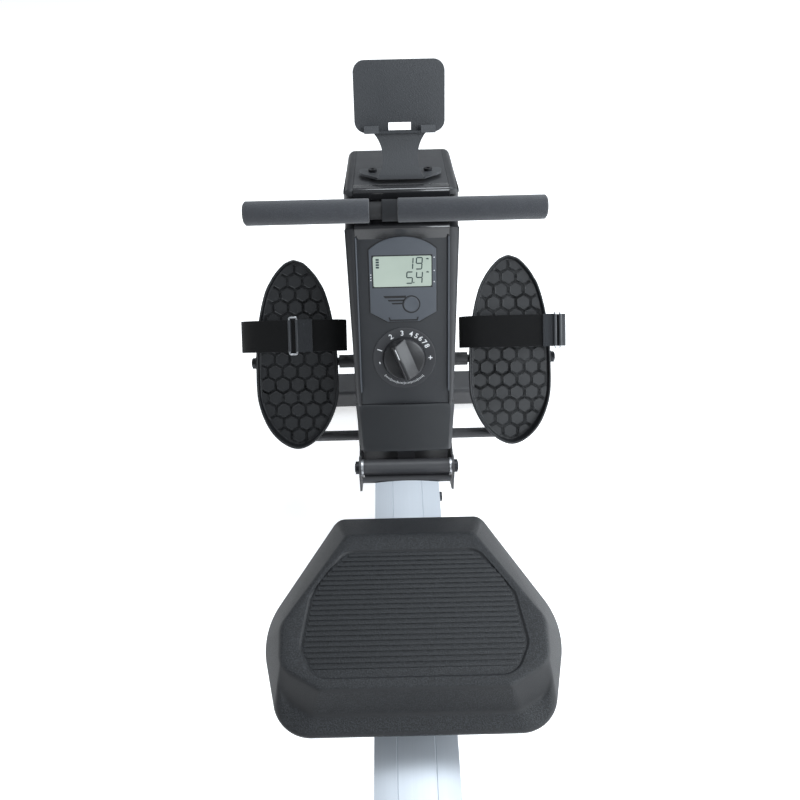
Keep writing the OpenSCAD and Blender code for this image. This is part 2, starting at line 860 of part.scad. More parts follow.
tongue_len = 130;
bolt_s = [-18, -108];
bolt_z = rail_top - 14;
module rail_bracket() {
    color("#1f2023") difference() {
        union() {
            x_rod(pivot_tube_r, -cheek_gap / 2 + 3.5, cheek_gap / 2 - 3.5, pivot_s, pivot_z);
            block(-cheek_gap / 2 + 1, cheek_gap / 2 - 1, 1, pivot_s - 12.5, rail_top - 5, rail_top - 1);
            block(-cheek_gap / 2 + 4, cheek_gap / 2 - 4, 1, pivot_s, rail_top - 5, rail_top - 1);
            block(-rail_w / 2 + 2, rail_w / 2 - 2, 1, 5, rail_bottom + 3, rail_top - 2);
            side(-12, 24) translate([pivot_s, pivot_z]) intersection() {
                circle(quadrant_r);
                polygon([[0, 0], for (a = [-104 : 14 : 8]) 80 * [cos(a), sin(a)]]);
            }
            both_sides() block(rail_wall / 2 + fit, rail_w / 2 - rail_wall - fit, -tongue_len, 2,
                rail_bottom + rail_wall + fit, rail_inner_top - fit);
        }
        both_sides() block(rail_wall / 2 + 4, rail_w / 2 - rail_wall - 4, -tongue_len - 1, 0,
            rail_bottom + rail_wall + 4, rail_inner_top - 4);
        x_rod(pivot_r + run, -cheek_gap, cheek_gap, pivot_s, pivot_z);
        for (s = bolt_s) x_rod(4 + run, -rail_w, rail_w, s, bolt_z);
        for (a = [-90, fold_angle - 90]) translate([0, pivot_s + rail_y, pivot_z]) rotate([a - 90, 0, 0])
            translate([0, 0, quadrant_r - 15]) cylinder(r = lock_r + 0.4, h = 20);
    }
}

module pivot_bolt() {
    color("#a7aaae") {
        x_rod(pivot_r, -cheek_gap / 2 - cheek_t - 6, cheek_gap / 2 + cheek_t + 6, pivot_s, pivot_z);
        both_sides() x_rod(9, cheek_gap / 2 + cheek_t, cheek_gap / 2 + cheek_t + 5, pivot_s, pivot_z);
    }
}

module pivot_washers() {
    color("#c8cacd") both_sides()
        x_tube(12, pivot_r, cheek_gap / 2 - 3.2, cheek_gap / 2, pivot_s, pivot_z);
}

module lock_pin() {
    color("#b9bcc0") {
        at(0, pivot_s, fork_floor - 52) cylinder(r = lock_r, h = 52.5);
        at(0, pivot_s, fork_floor - 74) cylinder(r1 = 10, r2 = 14, h = 12);
        at(0, pivot_s, fork_floor - 62) cylinder(r1 = 14, r2 = 9, h = 14);
    }
}

module rail_bolts() {
    color("#a7aaae") for (s = bolt_s) {
        x_rod(4, -rail_w / 2 + 0.5, rail_w / 2 + 3, s, bolt_z);
        x_rod(6.5, rail_w / 2, rail_w / 2 + 3.5, s, bolt_z);
    }
}

module rail_end_cap() {
    color("#141415") {
        at(0, -rail_len, 0) rotate([90, 0, 0]) linear_extrude(6)
            translate([0, rail_top - rail_h / 2]) rounded_square(rail_w + 4, rail_h + 4, 6);
        both_sides() floor_cap(rear_s, foot_half, tube_d, tube_h, tube_z, cap_lip, 34);
    }
}

stop_s = -pad_gap - 36.5;
rear_stop_s = rear_s + 60;
module seat_stops() {
    color("#101012") both_sides() for (s = [stop_s, rear_stop_s])
        block(rail_w / 2, rail_w / 2 + 12, s, s + 6, rail_bottom + 16, rail_bottom + 40);
}

module rear_foot() {
    color("#1d1e20") {
        floor_tube(rear_s, foot_half, tube_d, tube_h, tube_z);
        difference() {
            block(-30, 30, rear_s - 11, rear_s + 49, tube_z + tube_h - 2, rail_bottom);
            block(-27, 27, rear_s - 8, rear_s + 46, tube_z + tube_h - 3, rail_bottom - 4);
        }
        block(-38, 38, rear_s - 8, rear_s + 70, rail_bottom - 4, rail_bottom);
    }
}

// ---------- seat ----------

pad_z = rail_top + pad_low;
// The pad's outline is the hull of rounds, each [half width, distance back, radius]
pad_lower = [[77, 20, 20], [84, 95, 54], [102, 165, 60], [108, 231, 36]];
pad_upper = [[66, 66, 12], [115, 172, 24], [113, 198, 24], [92, 229, 8]];

module pad_slab(rounds, z, h) {
    for (c = rounds, m = [-1, 1]) at(m * c[0], -pad_gap - c[1], z) cylinder(r = c[2], h = h, $fn = 32);
}

module seat_pad() {
    color("#1a1a1b") hull() {
        pad_slab(pad_lower, pad_z, pad_h * 0.4);
        pad_slab(pad_upper, pad_z + pad_h - 1, 1);
    }
}

carriage_front = -pad_gap - 37;
carriage_len = 190;
carriage_in = rail_w / 2 + 6;
upper_z = rail_top - 1.1 + gap + roller_r;
lower_z = rail_bottom - gap - keeper_r;
roller_s = [carriage_front - 28, carriage_front - carriage_len + 28];
keeper_s = carriage_front - carriage_len / 2;

module carriage_bolts(r, x0, x1) {
    for (s = roller_s) x_rod(r, x0, x1, s, upper_z);
    x_rod(r, x0, x1, keeper_s, lower_z);
}

module seat_carriage() {
    color("#202124") difference() {
        union() {
            block(-carriage_in - 4, carriage_in + 4, carriage_front - carriage_len, carriage_front,
                pad_z - 4.5, pad_z - 0.5);
            both_sides() {
                block(carriage_in, carriage_in + 4, carriage_front - carriage_len, carriage_front,
                    rail_bottom + 14, pad_z - 4);
                block(carriage_in, carriage_in + 4, keeper_s - 28, keeper_s + 28, lower_z - 12, rail_bottom + 15);
                block(carriage_in - 1, 96, keeper_s - 60, keeper_s + 60, pad_z - 4.5, pad_z - 0.5);
            }
        }
        carriage_bolts(roller_bolt_r + run, -rail_w, rail_w);
    }
}

roller_x = rail_w / 2 - roller_w - 4;
module roller_pair(r, s, z) {
    color("#3b3c40") both_sides() x_tube(r, roller_bolt_r + run, roller_x, roller_x + roller_w, s, z);
}

module front_rollers() {
    roller_pair(roller_r, roller_s[0], upper_z);
}

module rear_rollers() {
    roller_pair(roller_r, roller_s[1], upper_z);
}

module keeper_rollers() {
    roller_pair(keeper_r, keeper_s, lower_z);
}

module roller_bolts() {
    color("#a7aaae") both_sides() {
        carriage_bolts(roller_bolt_r, roller_x - 3, carriage_in + 7);
        difference() {
            carriage_bolts(6.5, carriage_in + 4, carriage_in + 8);
            carriage_bolts(3, carriage_in + 6.5, carriage_in + 9);
        }
    }
}

main_frame();
front_stabilizer();
mid_foot();
floor_caps();
transport_wheel(-wheel_x);  // transport_wheel_left
transport_wheel(wheel_x);  // transport_wheel_right
wheel_bolts();
housing_left();
housing_right();
console_panel();
hinge_cover();
handle_cradle();
phone_holder();
phone_holder_screws();
computer_case();
computer_lcd();
reset_button();
dial_plate();
resistance_knob();
tension_controller();
tension_cable();
heel_rest_bar();
pedal_axle();
pedal_nuts();
pedal_left();
pedal_right();
strap_left();
strap_right();
strap_ring_left();
strap_ring_right();
flywheel();
flywheel_axle();
drive_pulley();
drive_belt();
drive_axle();
spool();
spring_case();
magnet_bracket();
magnets();
guide_roller();
handlebar();
grip_left();
grip_right();
belt_loop();
pull_belt();
rail();
rail_bracket();
pivot_bolt();
pivot_washers();
lock_pin();
rail_bolts();
rail_end_cap();
seat_stops();
rear_foot();
seat_pad();
seat_carriage();
front_rollers();
rear_rollers();
keeper_rollers();
roller_bolts();
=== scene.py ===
"""The finished look of the rowing machine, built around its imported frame. Metres."""
import json
import math

import bmesh
import bpy
from mathutils import Matrix, Vector


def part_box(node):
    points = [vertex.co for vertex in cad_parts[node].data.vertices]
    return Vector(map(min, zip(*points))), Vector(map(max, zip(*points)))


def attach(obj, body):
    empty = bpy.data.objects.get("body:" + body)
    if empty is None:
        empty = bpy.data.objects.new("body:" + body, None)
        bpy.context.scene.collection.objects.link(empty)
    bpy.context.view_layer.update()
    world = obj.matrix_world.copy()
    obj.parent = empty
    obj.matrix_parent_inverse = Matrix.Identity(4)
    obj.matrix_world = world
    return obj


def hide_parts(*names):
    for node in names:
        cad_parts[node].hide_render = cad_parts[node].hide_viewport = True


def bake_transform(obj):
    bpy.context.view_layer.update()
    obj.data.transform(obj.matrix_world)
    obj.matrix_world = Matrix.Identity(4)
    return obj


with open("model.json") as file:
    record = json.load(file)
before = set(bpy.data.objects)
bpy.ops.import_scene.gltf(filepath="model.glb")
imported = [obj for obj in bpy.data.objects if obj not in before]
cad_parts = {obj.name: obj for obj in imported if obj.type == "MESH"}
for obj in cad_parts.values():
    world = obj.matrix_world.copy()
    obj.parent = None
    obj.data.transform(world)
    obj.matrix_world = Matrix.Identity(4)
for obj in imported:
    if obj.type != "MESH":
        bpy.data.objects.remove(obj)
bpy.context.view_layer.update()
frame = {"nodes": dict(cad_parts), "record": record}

MM = 0.001
RAIL_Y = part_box("rail")[1].y      # the rail's front end, where every station is measured from
TAU = 2 * math.pi


# ---------- places ----------

def place(x, station, height):
    """A point given in millimetres: across, forward of the rail's front end, above the floor."""
    return Vector((x * MM, RAIL_Y + station * MM, height * MM))


def leaning(station, height, tilt):
    """The matrix of a leaning face: X across, Y up the face, Z out of it, in millimetres."""
    return (Matrix.Translation(place(0, station, height)) @ Matrix.Rotation(math.radians(tilt), 4, "X")
            @ Matrix.Scale(MM, 4))


PANEL = leaning(69, 304, 66)
UPRIGHT = Matrix.Rotation(-math.pi / 2, 4, "Y")     # stands a turned shape up from its X axis


def pedal_frame(side):
    return Matrix.Translation((side * 0.161, 0, 0)) @ leaning(197, 272, 49.8)


FLAT = Matrix.Translation((0, RAIL_Y, 0)) @ Matrix.Scale(MM, 4)   # X across, Y station, Z height
SIDE = FLAT @ Matrix(((0, 0, 1, 0), (1, 0, 0, 0), (0, 1, 0, 0), (0, 0, 0, 1)))  # station, height, across


# ---------- shader maths ----------

class Wire:
    """A shader value that can be added to and multiplied like a number."""

    def __init__(self, finish, socket):
        self.finish, self.socket = finish, socket

    def _maths(self, operation, first, second):
        return self.finish.add("ShaderNodeMath", {"operation": operation}, {0: first, 1: second})

    def __add__(self, other):
        return self._maths("ADD", self, other)

    __radd__ = __add__

    def __sub__(self, other):
        return self._maths("SUBTRACT", self, other)

    def __mul__(self, other):
        return self._maths("MULTIPLY", self, other)

    __rmul__ = __mul__

    def sine(self):
        return self._maths("SINE", self, 0.0)


class Finish:
    """One material: a Principled shader and the nodes that feed it."""

    def __init__(self, name, **fixed):
        self.material = bpy.data.materials.new(name)
        self.material.use_nodes = True
        self.tree = self.material.node_tree
        self.shader = self.tree.nodes["Principled BSDF"]
        self.where = self.node("ShaderNodeTexCoord").outputs["Object"]
        for socket, value in fixed.items():
            self.shader.inputs[socket.replace("_", " ")].default_value = value

    def node(self, kind, settings=None, inputs=None):
        node = self.tree.nodes.new(kind)
        for key, value in (settings or {}).items():
            if key == "stops":
                ramp = node.color_ramp
                for i, (at, colour) in enumerate(value):
                    stop = ramp.elements[i] if i < len(ramp.elements) else ramp.elements.new(at)
                    stop.position, stop.color = at, (*colour, 1)
            else:
                setattr(node, key, value)
        for key, value in (inputs or {}).items():
            if isinstance(value, Wire):
                value = value.socket
            if isinstance(value, bpy.types.NodeSocket):
                self.tree.links.new(value, node.inputs[key])
            else:
                node.inputs[key].default_value = value
        return node

    def add(self, kind, settings=None, inputs=None, output=0):
        return Wire(self, self.node(kind, settings, inputs).outputs[output])

    def noise(self, size, detail=3, stretch=(1, 1, 1)):
        """Even noise, from 0 to 1, whose grains are about size metres."""
        vector = self.add("ShaderNodeVectorMath", {"operation": "MULTIPLY"}, {0: self.where, 1: stretch})
        return self.add("ShaderNodeTexNoise", {}, {"Vector": vector, "Scale": 1 / size, "Detail": detail})

    def cells(self, size):
        return self.add("ShaderNodeTexVoronoi", {"feature": "SMOOTH_F1"},
                        {"Vector": self.where, "Scale": 1 / size, "Smoothness": 0.5})

    def mix(self, factor, first, second):
        return self.add("ShaderNodeMix", {"data_type": "RGBA"},
                        {"Factor": factor, 6: first, 7: second}, output=2)

    def ramp(self, value, *stops):
        return self.add("ShaderNodeValToRGB", {"stops": stops}, {0: value})

    def feed(self, **sockets):
        for name, wire in sockets.items():
            self.tree.links.new(wire.socket, self.shader.inputs[name.replace("_", " ")])
        return self

    def bump(self, height, depth):
        normal = self.add("ShaderNodeBump", {}, {"Height": height, "Distance": depth, "Strength": 1.0})
        return self.feed(Normal=normal)


def rgb(r, g, b):
    return (r, g, b, 1)


def worn(finish, base, light, edge=0.53):
    """Base colour with soft cloudiness and paler worn edges."""
    pointed = finish.add("ShaderNodeNewGeometry", output="Pointiness")
    rub = finish.ramp(pointed, (edge, (0, 0, 0)), (edge + 0.09, (1, 1, 1)))
    cloud = finish.noise(0.05, 4)
    body = finish.mix(cloud, rgb(*base), rgb(*[c * 1.35 for c in base]))
    return finish.mix(rub, body, rgb(*light))


def moulded(name, base, light, rough, grain, depth, coat=0.0):
    """Grained black plastic."""
    f = Finish(name, Specular_IOR_Level=0.5, Coat_Weight=coat, Coat_Roughness=0.08)
    speck = f.noise(grain, 5)
    f.feed(Base_Color=worn(f, base, light), Roughness=rough + 0.16 * f.noise(0.03) - 0.08 + 0.12 * speck)
    return f.bump(speck, depth).material


def powder_coat(name, base, light):
    f = Finish(name, Specular_IOR_Level=0.5)
    peel = f.noise(0.0016, 4)
    f.feed(Base_Color=worn(f, base, light), Roughness=0.36 + 0.2 * f.noise(0.02))
    return f.bump(peel, 0.00022).material


def plated(name, base, rough):
    f = Finish(name, Metallic=1.0)
    dull = f.noise(0.004, 6)
    f.feed(Base_Color=f.mix(dull, rgb(*base), rgb(*[c * 0.72 for c in base])), Roughness=rough + 0.25 * dull)
    return f.bump(f.noise(0.0009, 4), 0.00005).material


def anodised():
    """The rail: satin silver with fine drawing lines along its length."""
    f = Finish("silver_anodised", Metallic=0.35, Specular_IOR_Level=0.5)
    drawn = f.noise(0.0011, 5, stretch=(1, 0.004, 1))
    cloud = f.noise(0.12, 3)
    tone = f.mix(cloud, rgb(0.54, 0.585, 0.64), rgb(0.6, 0.645, 0.7))
    f.feed(Base_Color=f.mix(drawn * 0.35, tone, rgb(0.5, 0.52, 0.55)), Roughness=0.34 + 0.16 * drawn)
    return f.bump(drawn, 0.00004).material


def foam():
    f = Finish("grip_foam", Specular_IOR_Level=0.3, Sheen_Weight=0.25, Sheen_Roughness=0.6)
    pores = f.cells(0.0011)
    tone = f.mix(f.noise(0.02, 4), rgb(0.036, 0.039, 0.046), rgb(0.056, 0.06, 0.069))
    f.feed(Base_Color=f.mix(pores, rgb(0.02, 0.021, 0.025), tone), Roughness=0.82 + 0.12 * pores)
    return f.bump(pores, 0.00035).material


def webbing(name, base, fuzzy=False):
    """Woven strap: threads follow the strip's own UV map, in metres along and across."""
    f = Finish(name, Specular_IOR_Level=0.2, Sheen_Weight=0.08, Sheen_Roughness=0.5)
    uv = f.node("ShaderNodeUVMap", {"uv_map": "strip"}).outputs[0]
    split = f.node("ShaderNodeSeparateXYZ", {}, {0: uv})
    along, across = Wire(f, split.outputs[0]), Wire(f, split.outputs[1])
    twill = ((along + across) * (TAU / 0.0021)).sine() * ((across - along) * (TAU / 0.0034)).sine()
    hair = f.noise(0.0012 if fuzzy else 0.0006, 6)
    weave = twill * (0.15 if fuzzy else 0.5) + hair * (1.6 if fuzzy else 0.4)
    f.feed(Base_Color=f.mix(weave * 0.5 + 0.3, rgb(*[c * 0.45 for c in base]), rgb(*base)),
           Roughness=0.78 + 0.15 * hair)
    return f.bump(weave, 0.0006 if fuzzy else 0.0003).material


def seat_skin():
    """Pebbled skin: heavy grain on the top, fine on the sloping sides."""
    f = Finish("pebbled_skin", Specular_IOR_Level=0.45)
    pebble = f.noise(0.0013, 3)
    fine = f.noise(0.0006, 3)
    normal = f.node("ShaderNodeNewGeometry").outputs["Normal"]
    upward = Wire(f, f.node("ShaderNodeSeparateXYZ", {}, {0: normal}).outputs["Z"])
    backward = Wire(f, f.node("ShaderNodeSeparateXYZ", {}, {0: normal}).outputs["Y"]) * -0.9
    top = f.add("ShaderNodeMath", {"operation": "MAXIMUM"}, {0: upward, 1: backward})
    on_top = f.ramp(top, (0.66, (0, 0, 0)), (0.9, (1, 1, 1)))
    speck = f.ramp(pebble, (0.42, (0, 0, 0)), (0.66, (1, 1, 1)))
    rough_top = f.mix(speck, rgb(0.006, 0.0066, 0.0076), rgb(0.024, 0.0265, 0.031))
    smooth_side = f.mix(fine, rgb(0.013, 0.0134, 0.0145), rgb(0.021, 0.0215, 0.0235))
    f.feed(Base_Color=f.mix(on_top, smooth_side, rough_top), Roughness=0.5 + 0.14 * fine)
    height = f.add("ShaderNodeMath", {"operation": "MULTIPLY"}, {0: pebble, 1: on_top}) + fine * 0.25
    return f.bump(height, 0.0007).material


def display():
    f = Finish("display", Specular_IOR_Level=0.4, Coat_Weight=0.25, Coat_Roughness=0.1)
    shade = f.noise(0.03, 2)
    f.feed(Base_Color=f.mix(shade, rgb(0.37, 0.43, 0.37), rgb(0.44, 0.5, 0.43)),
           Roughness=0.3 + 0.1 * f.noise(0.002))
    return f.bump(f.noise(0.0008), 0.00001).material


def ink(name, base):
    f = Finish(name)
    patchy = f.noise(0.0012, 4)
    f.feed(Base_Color=f.mix(patchy, rgb(*base), rgb(*[c * 0.8 for c in base])), Roughness=0.5 + 0.2 * patchy)
    return f.material


STEEL_BLACK = powder_coat("black_powder_coat", (0.0095, 0.0098, 0.011), (0.04, 0.04, 0.043))
SHELL = moulded("housing_plastic", (0.016, 0.0165, 0.0185), (0.04, 0.041, 0.044), 0.42, 0.0009, 0.00012)
PANEL_SKIN = moulded("panel_plastic", (0.0075, 0.0086, 0.0104), (0.04, 0.042, 0.047), 0.52, 0.0008, 0.00014)
# Pale grey-blue plastic of the computer's bezel and button; on the panel's edge beads the same pale colour
# is a painted highlight.
BEZEL_AND_PAINTED_HIGHLIGHT = moulded("bezel_plastic_and_painted_highlight", (0.058, 0.065, 0.077), (0.07, 0.073, 0.08), 0.52, 0.0009, 0.0002)
GLOSS = moulded("polished_plastic", (0.009, 0.009, 0.01), (0.03, 0.03, 0.032), 0.16, 0.004, 0.00002, 0.6)
KNOB_SKIN = moulded("knob_plastic", (0.012, 0.012, 0.013), (0.05, 0.05, 0.055), 0.27, 0.002, 0.00002)
RUBBER = moulded("black_rubber", (0.012, 0.012, 0.013), (0.03, 0.03, 0.032), 0.7, 0.0007, 0.0002)
PEDAL_SKIN = moulded("pedal_plastic", (0.0088, 0.0094, 0.0108), (0.028, 0.03, 0.034), 0.4, 0.0008, 0.00016)
BLACKED = plated("blackened_steel", (0.045, 0.046, 0.05), 0.3)
PLATE = powder_coat("charcoal_powder_coat", (0.0105, 0.012, 0.0148), (0.05, 0.053, 0.058))
PLATED = plated("zinc_plate", (0.62, 0.63, 0.65), 0.25)
IRON = plated("machined_iron", (0.32, 0.32, 0.33), 0.4)
ANODISED = anodised()
FOAM = foam()
WEB = webbing("strap_webbing", (0.0055, 0.0055, 0.006))
HOOK = webbing("hook_and_loop", (0.034, 0.036, 0.04), fuzzy=True)
HOOK_ROLL = powder_coat("rolled_webbing", (0.022, 0.0235, 0.027), (0.05, 0.053, 0.058))
LOOP_WEB = webbing("belt_webbing", (0.024, 0.025, 0.028))
SKIN = seat_skin()
DISPLAY = display()
LCD_INK = ink("display_segments", (0.025, 0.045, 0.045))
WHITE_INK = ink("white_print", (0.82, 0.83, 0.84))
DARK_PLASTIC = moulded("shadow_line", (0.004, 0.004, 0.0045), (0.008, 0.008, 0.009), 0.6, 0.001, 0.0001)
BEZEL_DARK = moulded("dial_plastic", (0.018, 0.0185, 0.021), (0.05, 0.05, 0.055), 0.45, 0.0009, 0.00015)


# ---------- mesh helpers ----------

def piece(name, bm, material, body, stands_for=(), into=None, sharp=32):
    """Finishes a bmesh as an object that rides on a body. into takes the mesh's units to metres."""
    bmesh.ops.remove_doubles(bm, verts=bm.verts, dist=1e-6 if into is None else 1e-3)
    bmesh.ops.recalc_face_normals(bm, faces=bm.faces)
    if into is not None:
        bm.transform(into)
    mesh = bpy.data.meshes.new(name)
    bm.to_mesh(mesh)
    bm.free()
    mesh.materials.append(material)
    mesh.shade_smooth()
    mesh.set_sharp_from_angle(angle=math.radians(sharp))
    obj = bpy.data.objects.new(name, mesh)
    bpy.context.scene.collection.objects.link(obj)
    if body:
        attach(obj, body)
    if stands_for:
        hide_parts(*stands_for)
    return obj


def flat_face(bm, points, z=0.0):
    return bm.faces.new([bm.verts.new((x, y, z)) for x, y in points])


def rounded(rounds, count=72, grow=0.0):
    """The outline around a set of rounds, each (x, y, radius): one point for each outward direction."""
    points = []
    for k in range(count):
        turn = TAU * (k + 0.5) / count
        out = Vector((math.cos(turn), math.sin(turn)))
        x, y, r = max(rounds, key=lambda c: c[0] * out.x + c[1] * out.y + c[2])
        points.append((x + (r + grow) * out.x, y + (r + grow) * out.y))
    return points


def mirrored(rounds):
    return [(side * x, y, r) for x, y, r in rounds for side in (-1, 1)]


def prism(bm, points, low, high):
    """A closed block with that outline, from low to high along Z. Returns its top face."""
    base = flat_face(bm, points, low)
    up = bmesh.ops.extrude_face_region(bm, geom=[base], use_keep_orig=True)["geom"]
    lifted = [v for v in up if isinstance(v, bmesh.types.BMVert)]
    bmesh.ops.translate(bm, verts=lifted, vec=(0, 0, high - low))
    return next(f for f in up if isinstance(f, bmesh.types.BMFace))


def join(bm, other):
    """Moves everything in other into bm."""
    mesh = bpy.data.meshes.new("joined")
    other.to_mesh(mesh)
    other.free()
    bm.from_mesh(mesh)
    bpy.data.meshes.remove(mesh)


def soften(bm, edges, width, segments=3):
    bmesh.ops.bevel(bm, geom=list(edges), offset=width, offset_type="OFFSET", segments=segments,
                    profile=0.5, affect="EDGES", material=-1, clamp_overlap=True)


def ring_edges(bm, test):
    return [e for e in bm.edges if all(test(v.co) for v in e.verts)]


def bridge(bm, rings, cap_first=True, cap_last=True):
    """Joins rings of points, each with the same count, into one skin."""
    loops = []
    for ring in rings:
        verts = [bm.verts.new(p) for p in ring]
        loops.append([bm.edges.new((a, b)) for a, b in zip(verts, verts[1:] + verts[:1])])
        if (ring is rings[0] and cap_first) or (ring is rings[-1] and cap_last):
            bm.faces.new(verts)
    for a, b in zip(loops, loops[1:]):
        bmesh.ops.bridge_loops(bm, edges=a + b)
    return loops


def lathe(bm, profile, steps=64):
    """Spins (radius, along) points about the X axis."""
    verts = [bm.verts.new((along, 0, radius)) for radius, along in profile]
    edges = [bm.edges.new(pair) for pair in zip(verts, verts[1:])]
    bmesh.ops.spin(bm, geom=verts + edges, cent=(0, 0, 0), axis=(1, 0, 0), angle=TAU, steps=steps,
                   use_merge=True)


def strip(bm, path, half, thick, across):
    """A flat band of that half width swept along a path of points, with a UV map called strip."""
    layer = bm.loops.layers.uv.get("strip") or bm.loops.layers.uv.new("strip")
    run, rings = [0.0], []
    for a, b in zip(path, path[1:]):
        run.append(run[-1] + (b - a).length)
    for i, point in enumerate(path):
        ahead = (path[min(i + 1, len(path) - 1)] - path[max(i - 1, 0)]).normalized()
        up = across.cross(ahead).normalized() * (thick / 2)
        side = across * half
        corners = ((-1, -1), (1, -1), (1, 1), (-1, 1))
        rings.append([bm.verts.new(point + a * side + b * up) for a, b in corners])
    for i, (a, b) in enumerate(zip(rings, rings[1:])):
        for k in range(4):
            n = (k + 1) % 4
            face = bm.faces.new((a[k], a[n], b[n], b[k]))
            for loop, (u, v) in zip(face.loops, ((i, k), (i, n), (i + 1, n), (i + 1, k))):
                loop[layer].uv = (run[u], half if v in (1, 2) else -half)
    for end in (rings[0], rings[-1]):
        bm.faces.new(end)


def smooth_path(points, steps=6):
    """A smooth curve through points."""
    out = []
    padded = [points[0]] + list(points) + [points[-1]]
    for p0, p1, p2, p3 in zip(padded, padded[1:], padded[2:], padded[3:]):
        for k in range(steps):
            t = k / steps
            out.append(0.5 * ((2 * p1) + (p2 - p0) * t + (2 * p0 - 5 * p1 + 4 * p2 - p3) * t * t
                              + (3 * p1 - p0 - 3 * p2 + p3) * t ** 3))
    out.append(points[-1])
    return out


def written(words, size, matrix, depth=0.25):
    """Generic figures as a thin raised mesh, in the matrix's millimetres."""
    curve = bpy.data.curves.new("figure", "FONT")
    curve.body, curve.size, curve.align_x, curve.align_y = words, size, "CENTER", "CENTER"
    curve.extrude, curve.offset = depth / 2, 0.012 * size
    curve.resolution_u = 3
    obj = bpy.data.objects.new("figure", curve)
    bpy.context.scene.collection.objects.link(obj)
    bpy.context.view_layer.update()
    mesh = bpy.data.meshes.new_from_object(obj.evaluated_get(bpy.context.evaluated_depsgraph_get()))
    mesh.transform(matrix)
    bpy.data.objects.remove(obj)
    return mesh


# ---------- camera, light and floor ----------

def camera():
    data = bpy.data.cameras.new("camera")
    data.lens, data.sensor_width, data.shift_x = 33.46, 36, 0.005
    obj = bpy.data.objects.new("camera", data)
    obj.matrix_world = (Matrix.Translation(place(-12.6, -662.4, 1017))
                        @ Matrix.Rotation(math.radians(46), 4, "X")
                        @ Matrix.Rotation(math.radians(-1.36), 4, "Z"))
    bpy.context.scene.collection.objects.link(obj)
    bpy.context.scene.camera = obj


def area_light(name, at, aim, size, power):
    data = bpy.data.lights.new(name, "AREA")
    data.shape, data.size, data.size_y, data.energy = "RECTANGLE", size[0], size[1], power
    data.color = (0.9, 0.955, 1.0)
    obj = bpy.data.objects.new(name, data)
    obj.location = at
    obj.rotation_euler = (Vector(aim) - Vector(at)).to_track_quat("-Z", "Y").to_euler()
    bpy.context.scene.collection.objects.link(obj)


def studio():
    floor = bpy.data.objects.new("floor", bpy.data.meshes.new("floor"))
    bm = bmesh.new()
    bmesh.ops.create_grid(bm, x_segments=2, y_segments=2, size=12)
    bm.to_mesh(floor.data)
    bm.free()
    f = Finish("pale_floor", Specular_IOR_Level=0.1, Emission_Strength=0.62)
    tone = f.mix(f.noise(0.4), rgb(0.93, 0.935, 0.94), rgb(0.95, 0.95, 0.955))
    f.feed(Base_Color=tone, Emission_Color=tone, Roughness=0.8 + 0.1 * f.noise(0.1))
    floor.data.materials.append(f.material)
    bpy.context.scene.collection.objects.link(floor)
    world = bpy.data.worlds.new("studio")
    world.use_nodes = True
    world.node_tree.nodes["Background"].inputs["Color"].default_value = rgb(0.9, 0.95, 1.0)
    world.node_tree.nodes["Background"].inputs["Strength"].default_value = 0.3
    bpy.context.scene.world = world
    area_light("right_softbox", (2.3, 0.45, 1.25), (0, 0.35, 0.3), (2.2, 1.8), 62)
    area_light("back_right_softbox", (1.3, -1.7, 1.8), (0, 0.3, 0.3), (1.3, 1.3), 40)
    area_light("top_softbox", (0.3, 0.9, 2.7), (0, 0.5, 0.4), (1.6, 1.2), 34)
    area_light("front_softbox", (0.1, 2.5, 2.2), (0, 0.5, 0.5), (0.9, 0.7), 9)
    area_light("left_fill", (-2.2, 0.4, 1.6), (0, 0.4, 0.3), (0.9, 1.6), 7)
    bpy.context.scene.view_settings.view_transform = "Standard"


# ---------- seat ----------

PAD_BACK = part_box("seat_pad")[1].y / MM - RAIL_Y / MM       # station of the pad's front edge
PAD_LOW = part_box("seat_pad")[0].z / MM
PAD_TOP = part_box("seat_pad")[1].z / MM
LOWER = [(79, -16, 14), (62, -165, 98), (104, -225, 42)]
UPPER = [(66, -66, 12), (115, -172, 24), (113, -198, 24), (92, -229, 8)]
INSET = [(64, -97, 19), (86, -120, 17), (92, -140, 18), (93, -188, 22.5), (86, -201, 23)]


def eased(rings, widths, steps=5):
    """The rings again with each inner one rounded off over that width."""
    out = [rings[0]]
    for last, ring, after, width in zip(rings, rings[1:], rings[2:], widths):
        for k in range(steps + 1):
            t = k / steps
            points = []
            for a, p, b in zip(last, ring, after):
                a, p, b = Vector(a), Vector(p), Vector(b)
                start = p + (a - p) * min(0.45, width / max(0.01, (a - p).length))
                end = p + (b - p) * min(0.45, width / max(0.01, (b - p).length))
                points.append(start * (1 - t) ** 2 + p * (2 * t * (1 - t)) + end * t * t)
            out.append(points)
    return out + [rings[-1]]


